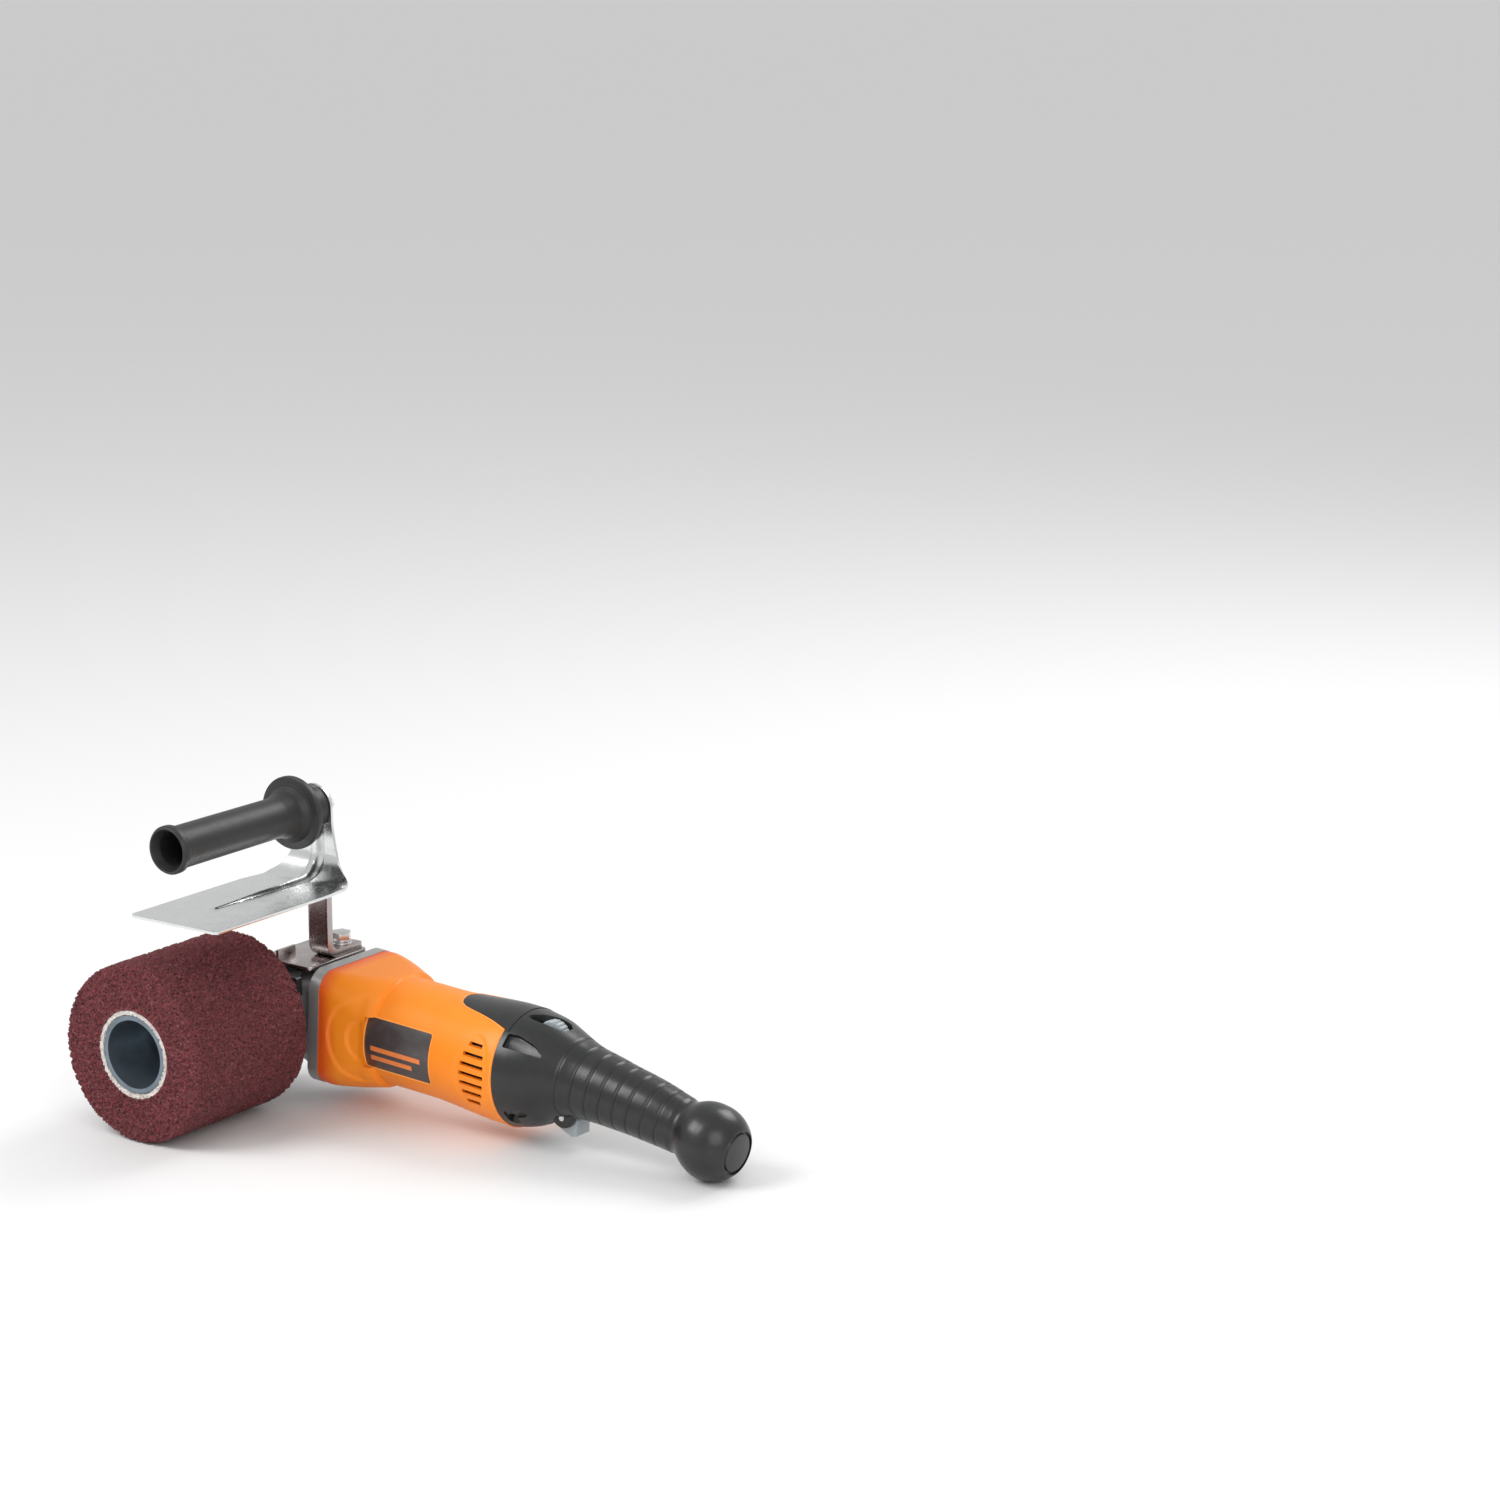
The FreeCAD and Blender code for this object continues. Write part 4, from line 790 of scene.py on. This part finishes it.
class GRINDER_OT_motor_housing(bpy.types.Operator):
    """Build the orange motor housing with its screw corners, slots, badge seat and seam"""
    bl_idname = "grinder.motor_housing"
    bl_label = "Motor housing"

    def execute(self, context):
        end = SEAM + 3
        outer = divided([(RIM_BACK, BARREL_BLANK), (end, BARREL_BLANK)], 1.0)
        inner = [(end, 35.5), (170, 34.4), (153, 32.4), (153, MOTOR_BORE), (RIM_BACK, MOTOR_BORE)]
        bm = spin_profile(outer + [Vector(p) for p in inner], 288)
        for vert in bm.verts:
            if on_blank(vert):
                scale_radius(vert, housing_reach(vert.co.x, math.atan2(vert.co.z, vert.co.y)))
        shell = to_object(bm, "motor_barrel")
        cutters = []
        for side in (-1, 1):
            for k in range(VENT_COUNT):
                row = VENT_COUNT // 2 - k
                reach, level = VENT_REACH[abs(row)], VENT_PITCH * row
                y0, y1 = sorted((side * 20.0, side * 45.0))
                cutters.append(soft_box((VENT_X - reach, y0, level - VENT_HALF),
                                        (VENT_X + reach + VENT_TAIL, y1, level + VENT_HALF), 0.5, 2))
        combine(shell, joined(cutters), "DIFFERENCE")
        start, stop, bottom, top = BADGE_SEAT
        seat = to_object(spin_profile([(start, 34.1), (start, 45), (stop, 45), (stop, 34.1)], 288), "seat")
        combine(seat, soft_box((start - 9.6, -60, bottom), (stop + 7.6, -20, top), 2.0, 3), "INTERSECT")
        combine(shell, taken(seat), "DIFFERENCE")
        tongue = prism(tongue_outline(0.35), 60)
        combine(shell, placed(tongue, Matrix.Translation((0, 0, 60))), "DIFFERENCE")
        cap = soft_box((SEAM - 0.3, -80, -80), (SEAM + 60, 80, 80))
        combine(shell, placed(cap, MOTOR.inverted() @ BENCH @ Matrix.Translation((0.15, 0, 0))), "DIFFERENCE")
        finish_piece(shell, "root", finish("orange_plastic"), ("motor_housing",), 38, MOTOR)
        self.edge_lips()
        # near-black cone under the cooling slots: painted shade inside the housing
        shade_screen = spin_profile([(158, 31.0), (158, 31.6), (192, 33.6), (192, 33.0)], 96)
        make_piece("vent_shade_screen", shade_screen, "root", finish("dark_recess"), (), 40, MOTOR)
        return {"FINISHED"}

    def edge_lips(self):
        """Thin raised lips along the seam, the tongue and the badge, coloured a lighter orange as a painted highlight.
        """
        def on_barrel(x, y):
            reach = table_value(BARREL_STATIONS, x) + 0.02
            return Vector((x, y, math.sqrt(reach ** 2 - y ** 2)))

        cuts, lip = 148, SEAM - 0.9
        ring = []
        start = math.degrees(math.atan2(TONGUE_STATIONS[-1][1] + 0.9, 30.2))
        reach = table_value(BARREL_STATIONS, lip) + 0.02
        for k in range(cuts + 1):
            turn = math.radians(start + (360 - 2 * start) * k / cuts)
            ring.append(Vector((lip - math.tan(TILT) * reach * math.cos(turn),
                                -reach * math.sin(turn), reach * math.cos(turn))))
        half = [p for p in tongue_outline(0.75) if p[0] < SEAM - 1 and p[1] >= 0]
        edge = [Vector(p) for p in half[:0:-1]] + [Vector((x, -y)) for x, y in half]
        path = [on_barrel(*p) for p in divided(edge, 1.5)]
        make_piece("seam_lip", sweep(path + ring, 0.45), "root", finish("orange_lip_highlight"), (), 60, MOTOR)
        start, stop, bottom, top = BADGE_SEAT
        frame_line = divided(rounded([(start, bottom, 2), (stop, bottom, 2), (stop, top, 2), (start, top, 2)], 3,
                                     closed=True), 2.0, closed=True)
        border = [Vector((p.x, -math.sqrt(35.12 ** 2 - p.y ** 2), p.y)) for p in frame_line]
        make_piece("badge_border", sweep(border, 0.5), "root", finish("orange_lip_highlight"), (), 60, MOTOR)


class GRINDER_OT_badge(bpy.types.Operator):
    """Build the dark badge plate with two plain stripes"""
    bl_idname = "grinder.badge"
    bl_label = "Badge"

    def execute(self, context):
        def curved_plate(name, low_x, high_x, low_z, high_z, inner, outer, corner):
            ring = rounded([(low_x, inner), (low_x, outer, 0.25), (high_x, outer, 0.25), (high_x, inner)], 2,
                           closed=True)
            plate = to_object(spin_profile(ring, 360), name)
            window = prism(rounded([(low_x - 1, low_z, 0), (high_x + 1, low_z, 0), (high_x + 1, high_z, 0),
                                    (low_x - 1, high_z, 0)], closed=True), 30)
            turn = Matrix.Translation((0, -35, 0)) @ Matrix.Rotation(math.radians(90), 4, "X")
            return combine(plate, placed(window, turn), "INTERSECT")

        plate = curved_plate("badge", 90, 142, -16.2, 16.7, 34.15, 35.05, 1.5)
        finish_piece(plate, "root", finish("badge"), ("badge_plate",), 40, MOTOR)
        for name, row, length in (("badge_stripe_upper", -2.4, 40.0), ("badge_stripe_lower", -8.6, 33.0)):
            stripe = curved_plate(name, 95, 95 + length, row - 1.6, row + 1.6, 34.9, 35.13, 0.4)
            finish_piece(stripe, "root", finish("badge_stripe"), (), 40, MOTOR)
        return {"FINISHED"}


# ---- grip housing ----
def grip_centre(along):
    """Point of the grip's curved centre line and its direction, in the bench frame."""
    def height(x):
        if x > GRIP_STATIONS[-1][0]:
            last = GRIP_STATIONS[-1]
            return last[2] + (BALL_R - last[2]) * (x - last[0]) / (BALL_X - last[0])
        return table_value(GRIP_STATIONS, x, 2)

    step = 2.0
    slope = (height(along + step) - height(along - step)) / (2 * step)
    if along > GRIP_STATIONS[-1][0] - 20:
        straight = -math.tan(GRIP_TILT)
        slope += (straight - slope) * smoothstep(along, GRIP_STATIONS[-1][0] - 20, GRIP_STATIONS[-1][0])
    slope *= smoothstep(along, SEAM, SEAM + 12)
    return Vector((along, 0, height(along))), Vector((1, 0, slope)).normalized()


def bend_to_grip(bm):
    """Wraps a part that was made straight along X onto the grip's centre line."""
    for vert in bm.verts:
        if vert.co.x > BALL_X:
            centre = Vector((BALL_X, 0, BALL_R))
            direction = Vector((math.cos(GRIP_TILT), 0, -math.sin(GRIP_TILT)))
            centre = centre + direction * (vert.co.x - BALL_X)
        else:
            centre, direction = grip_centre(vert.co.x)
        upward = Vector((-direction.z, 0, direction.x))
        vert.co = centre + Vector((0, vert.co.y, 0)) + upward * vert.co.z


def groove_depth(along, count):
    """Depth of the ring grooves pressed into the grip."""
    depth = 0.0
    for k in range(count):
        middle = 233.0 + k * 10.2
        depth = max(depth, 0.7 * math.exp(-((along - middle) / 0.62) ** 2))
    return depth


def ball_reach(along):
    offset = along - BALL_X
    return math.sqrt(max(0, BALL_R ** 2 - offset ** 2))


def grip_reach(along, count):
    """Outer radius of the grip housing."""
    stations = [(x, r) for x, r, _ in GRIP_STATIONS] + [(316, 18.6), (320, 19.9), (324, 21.4)]
    neck = table_value(stations, along)
    if along > 322:
        return ball_reach(along)
    blend = smoothstep(along, 312, 322)
    return neck * (1 - blend) + ball_reach(along) * blend - groove_depth(along, count)


def grip_skin(shrink, count, end):
    """Outline of the grip housing up to its end, shrunk by a wall's thickness."""
    step = 0.6
    cuts = int((end - SEAM) / step)
    stations = [SEAM + k * (end - SEAM) / cuts for k in range(cuts + 1)]
    return [Vector((x, grip_reach(x, count) - shrink)) for x in stations]


def teardrop(length, width, steps=14):
    """Pointed drop: its round end starts at the origin and its tip lies on the right."""
    points = []
    for k in range(steps + 1):
        t = k / steps
        points.append((length * t, width / 2 * math.sqrt(max(0, math.sin(math.pi * t ** 0.62))) * (1 - 0.25 * t)))
    return points + [(x, -y) for x, y in reversed(points[1:-1])]


def surface_matrix(along, angle, sink=0.0):
    """Frame on the grip housing's surface: X along it, Z outwards. The angle is from the top towards -Y."""
    centre, direction = grip_centre(along)
    upward = Vector((-direction.z, 0, direction.x))
    turn = math.radians(angle)
    outward = upward * math.cos(turn) - Vector((0, 1, 0)) * math.sin(turn)
    step = 1.5
    slope = (grip_reach(along + step, 0) - grip_reach(along - step, 0)) / (2 * step)
    tangent = (direction + outward * slope).normalized()
    across = outward.cross(tangent).normalized()
    normal = tangent.cross(across).normalized()
    spot = centre + outward * (grip_reach(along, 0) - sink)
    matrix = Matrix((tangent, across, normal)).transposed().to_4x4()
    return Matrix.Translation(spot) @ matrix


class GRINDER_OT_grip_housing(bpy.types.Operator):
    """Build the two shells of the grip housing with their recesses, grooves and ball end"""
    bl_idname = "grinder.grip_housing"
    bl_label = "Grip housing"

    def execute(self, context):
        settings = context.scene.grinder_housing
        wall, end = settings.wall / MM, BALL_X + BALL_END
        outer = grip_skin(0, settings.grooves, end)
        rim = outer[-1].y
        inner_end = end - wall
        inner = [p for p in grip_skin(wall, 0, inner_end) if p.y > 0]
        inner = inner[::4] + [inner[-1]]
        mouth = [Vector(p) for p in ((end, rim - 0.3), (end, 13.9), (end - 1.6, 13.7), (end - 1.6, 9.4),
                                     (inner_end, 9.4))]
        profile = outer[:-1] + [Vector((end - 0.5, rim + 0.1))] + mouth + list(reversed(inner))
        bm = spin_profile(profile, 256)
        bend_to_grip(bm)
        shell = to_object(bm, "shell")

        combine(shell, self.tongue_strip(), "UNION")
        boss = placed(rod(9.0, -10.9, 10.9, 48, 1.2), Matrix.Translation((TRIGGER_X, 0, TRIGGER_Z + 2)) @ SPIN_TO_Y)
        combine(shell, boss, "UNION")
        cutters = [
            soft_box((TRIGGER_X - 14.0, -7.5, -5), (TRIGGER_X + 11.5, 7.5, 38), 1.0, 2),
            placed(rod(TRIGGER_PIN_R, -14, 14, 24), Matrix.Translation((TRIGGER_X, 0, TRIGGER_Z)) @ SPIN_TO_Y),
        ]
        combine(shell, joined(cutters), "DIFFERENCE")
        fin = rounded([(0, -5.2, 1.2), (0.6, 4.6, 2.2), (8, 5.0, 6), (20, 1.8, 9), (31.5, -5.4, 3.0)], 4, closed=True)
        scoop = surface_matrix(197.6, 47.5, -0.4) @ Matrix.Rotation(math.radians(4), 4, "Y")
        combine(shell, placed(prism(fin, 8.4, 0.7, 2), scoop), "DIFFERENCE")
        window = prism(teardrop(28.0, 15.0), 14.0)
        turn = Matrix.Translation((226.0, 4.0, 78.5)) @ Matrix.Rotation(math.radians(206), 4, "Z")
        combine(shell, placed(window, turn), "DIFFERENCE")
        foot = prism(rounded([(x, y, 2.5) for x, y in ((-7.5, -3.6), (7.5, -3.6), (7.5, 3.6), (-7.5, 3.6))], 4,
                             closed=True), 3.6, 0.5, 2)
        combine(shell, placed(foot, surface_matrix(204.5, 127, 0)), "DIFFERENCE")
        for x, z, reach, side in SHELL_SCREWS:
            low, high = sorted((side * 60, side * (reach - SCREW_SEAT_DEPTH)))
            hole = placed(rod(SCREW_SEAT_R, low, high, 32), Matrix.Translation((x, 0, z)) @ SPIN_TO_Y)
            combine(shell, hole, "DIFFERENCE")

        cap = spin_profile(rounded([(end - 3, 0), (end - 3, 9.2), (end - 1.5, 9.2), (end - 1.5, 12.5, 0.3),
                                    (end - 0.1, 12.3, 0.8), (end - 0.1, 0)], 3), 128, closed=False)
        bend_to_grip(cap)
        make_piece("inlet_cap", cap, "root", finish("black_plastic"), ("cord_inlet",), 38)
        gap = 0.07
        for name, side, node in (("grip_shell_near", -1, "grip_shell_right"), ("grip_shell_far", 1, "grip_shell_left")):
            half = bpy.data.objects.new(name, shell.data.copy())
            bpy.context.scene.collection.objects.link(half)
            y0, y1 = sorted((side * gap, side * 100.0))
            combine(half, soft_box((100, y0, -20), (400, y1, 130)), "INTERSECT")
            finish_piece(half, "root", finish("black_plastic"), (node,), 38, BENCH)
        bpy.data.objects.remove(shell)
        return {"FINISHED"}

    def tongue_strip(self):
        """Strip that reaches forward over the motor housing, made from the housing's own skin."""
        outer = divided([(140, BARREL_BLANK), (SEAM + 1.5, BARREL_BLANK)], 1.0)
        bm = spin_profile(outer + [Vector((SEAM + 1.5, 34.5)), Vector((140, 33.0))], 288)
        for vert in bm.verts:
            barrel = table_value(BARREL_STATIONS, vert.co.x)
            if on_blank(vert):
                scale_radius(vert, barrel + 0.1)
            elif vert.co.x < 150:
                scale_radius(vert, barrel - 2.3)
        ring = to_object(bm, "ring")
        outline = prism(tongue_outline(0.0), 60)
        combine(ring, placed(outline, Matrix.Translation((0, 0, 60))), "INTERSECT")
        return placed(taken(ring), BENCH.inverted() @ MOTOR)


# ---- trigger, dial and small parts ----
class GRINDER_OT_controls(bpy.types.Operator):
    """Build the ribbed trigger and the knurled speed dial"""
    bl_idname = "grinder.controls"
    bl_label = "Controls"

    def execute(self, context):
        blade = rounded([(215.5, 20.5, 1.0), (219, 15.5, 2.5), (231.5, 9.2, 1.5), (236.3, 9.8, 1.2), (236.6, 20.0, 1.0),
                         (233, 25.5, 1.0), (228, 28.5, 1.5), (217, 27, 1.5)], 4, closed=True)
        upright = Matrix(((1, 0, 0, 0), (0, 0, -1, 0), (0, 1, 0, 0), (0, 0, 0, 1)))
        body = to_object(placed(prism(blade, 13.6, 0.7, 2), upright), "trigger_blade")
        cutters = [placed(rod(TRIGGER_PIN_R, -20, 20, 32), Matrix.Translation((TRIGGER_X, 0, TRIGGER_Z)) @ SPIN_TO_Y)]
        for k in range(5):
            cutters.append(placed(rod(0.42, -8, 8, 12), Matrix.Translation((236.75, 0, 10.9 + 1.6 * k)) @ SPIN_TO_Y))
        combine(body, joined(cutters), "DIFFERENCE")
        finish_piece(body, "trigger", finish("trigger_plastic"), ("trigger",))

        outline = [(-DIAL_HALF, 2.2), (-DIAL_HALF, DIAL_R, 0.6), (DIAL_HALF, DIAL_R, 0.6), (DIAL_HALF, 2.2)]
        wheel = to_object(spin_profile(rounded(outline, 2, closed=True), 96), "dial_wheel")
        teeth = []
        for k in range(DIAL_NOTCHES):
            notch = soft_box((-5, -1.0, -1.0), (5, 1.0, 1.0))
            angle = 2 * math.pi * k / DIAL_NOTCHES
            turn = Matrix.Rotation(angle, 4, "X") @ Matrix.Translation((0, 0, DIAL_R + 0.4))
            teeth.append(placed(notch, turn @ Matrix.Rotation(math.radians(45), 4, "X")))
        combine(wheel, joined(teeth), "DIFFERENCE")
        finish_piece(wheel, "dial", finish("trigger_plastic"), ("speed_dial",), 30,
                     BENCH @ Matrix.Translation((DIAL_X, 0, DIAL_Z)) @ SPIN_TO_Y)
        return {"FINISHED"}


# ---- guard, bracket and top handle ----
def bend_path(start, corner, radius, top, step=1.6):
    """Line of (y, z) points: along the floor of the bend from start, round it and up to the top."""
    side = 1 if start > corner[0] else -1
    turn = (corner[0] + side * radius, corner[1] + radius)
    flat = divided([(start, corner[1]), (turn[0], corner[1])], step)
    arc = [(turn[0] - side * radius * math.sin(a), turn[1] - radius * math.cos(a))
           for a in (math.radians(6 * k) for k in range(1, 15))]
    leg = divided([(corner[0], turn[1]), (corner[0], top)], step)
    return [tuple(p) for p in flat] + arc + [tuple(p) for p in leg]


class GRINDER_OT_guard(bpy.types.Operator):
    """Build the bent guard sheet with its pressed bead"""
    bl_idname = "grinder.guard"
    bl_label = "Guard"

    def execute(self, context):
        settings = context.scene.grinder_guard
        sheet, height = settings.thickness / MM, settings.bead / MM
        left, right = (edge - BAR_X for edge in node_span("guard_sheet", 0))
        middle = sheet / 2
        path = bend_path(SHEET_EDGE, (BAR_FACE - middle, SHEET_LOW + middle), 18.8 - middle, SHEET_TOP - 0.1, 1.3)
        flare = ((161.0, 19.7), (166.0, 18.0), (171.0, 17.0), (183.0, 15.2), (193.0, 15.0))
        leg_left = ((149.0, 29.0), (153.0, 24.0)) + flare
        leg_right = ((148.0, 38.2), (149.2, 36.4), (151.0, 33.4), (153.0, 29.4), (155.0, 25.6), (158.0, 21.8)) + flare

        def reach(y, z):
            if z > HANDLE_Z:
                half = math.sqrt(max(0.3, 15.0 ** 2 - (z - HANDLE_Z) ** 2))
                return -half, half
            front = y - SHEET_EDGE
            trim = 3 - math.sqrt(9 - (3 - front) ** 2) if front < 3 else 0
            low = -table_value(leg_left, z) if z > 149.0 else left + 2.5 * smoothstep(y, -52.0, -30.0)
            high = table_value(leg_right, z) if z > 148.01 else right - 1.3 * smoothstep(y, -46.0, -35.0)
            return low + trim, high - trim

        def lift(across, position):
            ends = smoothstep(position, 0.20, 0.216) * (1 - smoothstep(position, 0.80, 0.88))
            half = 2.6 + 3.1 * smoothstep(position, 0.25, 0.62)
            offset = min(1, abs(across - 3.0) / half)
            return height * ends * (0.55 + 0.45 * smoothstep(position, 0.22, 0.5)) * math.cos(offset * math.pi / 2)

        bm = bent_strip(path, reach, sheet, 140, lift, 0.35)
        make_piece("guard_sheet_pressed", bm, "root", finish("zinc_steel"), ("guard_sheet",), 35,
                   BENCH @ Matrix.Translation((BAR_X, 0, 0)))
        return {"FINISHED"}


class GRINDER_OT_bracket(bpy.types.Operator):
    """Build the bent bar, the base plate and the bolt that holds them"""
    bl_idname = "grinder.bracket"
    bl_label = "Bracket"

    def execute(self, context):
        thick = 5.0
        middle = thick / 2
        foot = node_span("handle_bar", 1)[1]
        top = node_span("handle_bar", 2)[1]
        path = bend_path(foot, (BAR_FACE + middle, PLATE_TOP + middle), 9.5 - middle, top, 2.0)
        half = (BAR_HIGH - BAR_LOW) / 2

        def reach(_, z):
            over = max(0, z - (top - half))
            side = math.sqrt(max(1, half ** 2 - over ** 2))
            return -side, side

        bm = bent_strip(path, reach, thick, 10, None, 0.7)
        make_piece("bent_bar", bm, "root", finish("bar_steel"), ("handle_bar",), 35,
                   BENCH @ Matrix.Translation((BAR_X, 0, 0)))
        plate = prism(rounded([(1, -33, 2), (45, -33, 5), (45, 24, 5), (1, 24, 2)], 5, closed=True), 3.0, 0.5, 2)
        tab = soft_box((15.5, -33, 90.5), (18, -16, 100), 0.6, 2)
        base = to_object(placed(plate, Matrix.Translation((0, 0, PLATE_TOP - 1.5))), "bracket_plate")
        combine(base, tab, "UNION")
        finish_piece(base, "root", finish("bar_steel"), ("base_plate",), 35)
        corner = 6.9
        hexagon = [(corner * math.cos(math.pi / 3 * k), corner * math.sin(math.pi / 3 * k)) for k in range(6)]
        head = placed(prism(hexagon, 5.4, 0.7, 3), Matrix.Translation((0, 0, WASHER_Z + 1.5 + 3.2 + 0.4)))
        coil = placed(rod(6.3, 0, 1.7, 48, 0.4), Matrix.Translation((0, 0, WASHER_Z + 1.45)) @ SPIN_TO_Z)
        shank = placed(rod(3.35, -24, 0, 32), Matrix.Translation((0, 0, WASHER_Z + 2)) @ SPIN_TO_Z)
        make_piece("bolt", joined([head, coil, shank]), "root", finish("screw_steel"), ("bracket_bolt",),
                   30, BENCH @ Matrix.Translation((BAR_X, BOLT_Y, 0)))
        washer = placed(rod(7.5, 0, 1.4, 64, 0.3), Matrix.Translation((0, 0, WASHER_Z)) @ SPIN_TO_Z)
        make_piece("flat_washer", washer, "root", finish("screw_steel"), ("bracket_washer",), 30,
                   BENCH @ Matrix.Translation((BAR_X, BOLT_Y, 0)))
        return {"FINISHED"}


class GRINDER_OT_top_handle(bpy.types.Operator):
    """Build the hollow side handle with its flange"""
    bl_idname = "grinder.top_handle"
    bl_label = "Top handle"

    def execute(self, context):
        profile = rounded([
            (-150, 13.2, 0.4), (-150, 14.2, 0.8), (-148.2, 15.3, 1.0), (-144.6, 15.3, 1.0), (-142.4, 13.4, 1.5),
            (-52, 13.0, 14), (-42.5, 15.0, 6), (-38.6, 18.0, 0.5), (-37.2, 18.6, 0.4), (-36.6, 23.6, 0.9),
            (-32.6, 23.6, 0.9), (-32.4, 17.0, 0.8), (-30.5, 15.0, 0.8), (-23.5, 15.0, 0.6), (-23.3, 14.0, 0.4),
            (-15.0, 14.0, 0.8), (-15.0, 4.1), (-40, 4.1), (-42, 10.5, 1.5),
            (-144, 10.7, 4.0)], 5, closed=True)
        bm = spin_profile(divided(profile, 6.0, closed=True), 128)
        make_piece("hollow_handle", bm, "root", finish("handle_rubber"), ("top_handle",), 35,
                   BENCH @ Matrix.Translation((BAR_X, 0, HANDLE_Z)) @ SPIN_TO_Y)
        return {"FINISHED"}


# ---- stage ----
class GRINDER_OT_stage(bpy.types.Operator):
    """Set up the floor, the lights and the camera"""
    bl_idname = "grinder.stage"
    bl_label = "Stage"

    def execute(self, context):
        settings = context.scene.grinder_stage
        bm = bmesh.new()
        bmesh.ops.create_grid(bm, x_segments=2, y_segments=2, size=30)
        floor = to_object(bm, "floor")
        material, tree, shader = new_material("floor")
        shader.inputs["Base Color"].default_value = rgba(settings.floor)
        shader.inputs["Roughness"].default_value = 0.6
        floor.data.materials.append(material)
        for name, spot, size, power in (
                ("key", (-0.9, -1.3, 1.7), 1.1, settings.light), ("fill", (1.5, -1.2, 1.1), 1.3, settings.light * 0.45),
                ("back", (0.3, 1.5, 1.5), 1.0, settings.light * 0.6)):
            data = bpy.data.lights.new(name, "AREA")
            data.energy = power
            data.size = size
            lamp = bpy.data.objects.new(name, data)
            lamp.location = spot
            lamp.rotation_euler = (Vector((0, 0, 0.1)) - Vector(spot)).to_track_quat("-Z", "Y").to_euler()
            bpy.context.scene.collection.objects.link(lamp)
        world = bpy.data.worlds.new("studio")
        world.use_nodes = True
        world.node_tree.nodes["Background"].inputs["Color"].default_value = (1, 1, 1, 1)
        world.node_tree.nodes["Background"].inputs["Strength"].default_value = 0.72
        bpy.context.scene.world = world
        context.scene.view_settings.view_transform = "Standard"
        self.camera()
        return {"FINISHED"}

    def camera(self):
        """Camera in front of the drum's end, turned towards the grip and looking down a little."""
        turn, down = math.radians(34.86), math.radians(13.39)
        data = bpy.data.cameras.new("camera")
        data.sensor_width = 36.0
        data.lens = 96.0
        camera = bpy.data.objects.new("camera", data)
        camera.location = bench_point(1669.4, -1876.5, 816.5)
        forward = Vector((-math.sin(turn) * math.cos(down), math.cos(turn) * math.cos(down), -math.sin(down)))
        camera.rotation_euler = forward.to_track_quat("-Z", "Y").to_euler()
        bpy.context.scene.collection.objects.link(camera)
        bpy.context.scene.camera = camera


class GRINDER_OT_materials(bpy.types.Operator):
    """Make every finish and give the working model's parts theirs"""
    bl_idname = "grinder.materials"
    bl_label = "Materials"

    def execute(self, context):
        make_materials(context.scene)
        for entry in frame["record"]["subparts"]:
            part = frame["nodes"][entry["node"]]
            part.data.materials.clear()
            part.data.materials.append(finish(OWN_FINISH.get(entry["node"], entry["material_slot"])))
            part.data.set_sharp_from_angle(angle=math.radians(30))
        return {"FINISHED"}


class GRINDER_PT_panel(bpy.types.Panel):
    """Lists the settings and the build steps"""
    bl_label = "Drum grinder"
    bl_idname = "GRINDER_PT_panel"
    bl_space_type = "VIEW_3D"
    bl_region_type = "UI"
    bl_category = "Grinder"

    def draw(self, context):
        for group in SETTINGS:
            box = self.layout.box()
            settings = getattr(context.scene, group)
            for key in settings.__annotations__:
                box.prop(settings, key)
        for step in STEPS:
            self.layout.operator(step.bl_idname)


SETTINGS = {"grinder_drum": DrumSettings, "grinder_housing": HousingSettings, "grinder_guard": GuardSettings,
            "grinder_stage": StageSettings}
STEPS = (GRINDER_OT_materials, GRINDER_OT_drum, GRINDER_OT_motor_housing, GRINDER_OT_badge, GRINDER_OT_grip_housing,
         GRINDER_OT_controls, GRINDER_OT_guard, GRINDER_OT_bracket, GRINDER_OT_top_handle, GRINDER_OT_stage)


def register():
    for cls in (*SETTINGS.values(), *STEPS, GRINDER_PT_panel):
        bpy.utils.register_class(cls)
    for name, cls in SETTINGS.items():
        setattr(bpy.types.Scene, name, PointerProperty(type=cls))


def unregister():
    for name in SETTINGS:
        delattr(bpy.types.Scene, name)
    for cls in reversed((*SETTINGS.values(), *STEPS, GRINDER_PT_panel)):
        bpy.utils.unregister_class(cls)


def main():
    register()
    for step in STEPS:
        group, name = step.bl_idname.split(".")
        result = getattr(getattr(bpy.ops, group), name)()
        if result != {"FINISHED"}:
            raise RuntimeError(step.bl_label + " was not built")


if __name__ == "__main__":
    main()
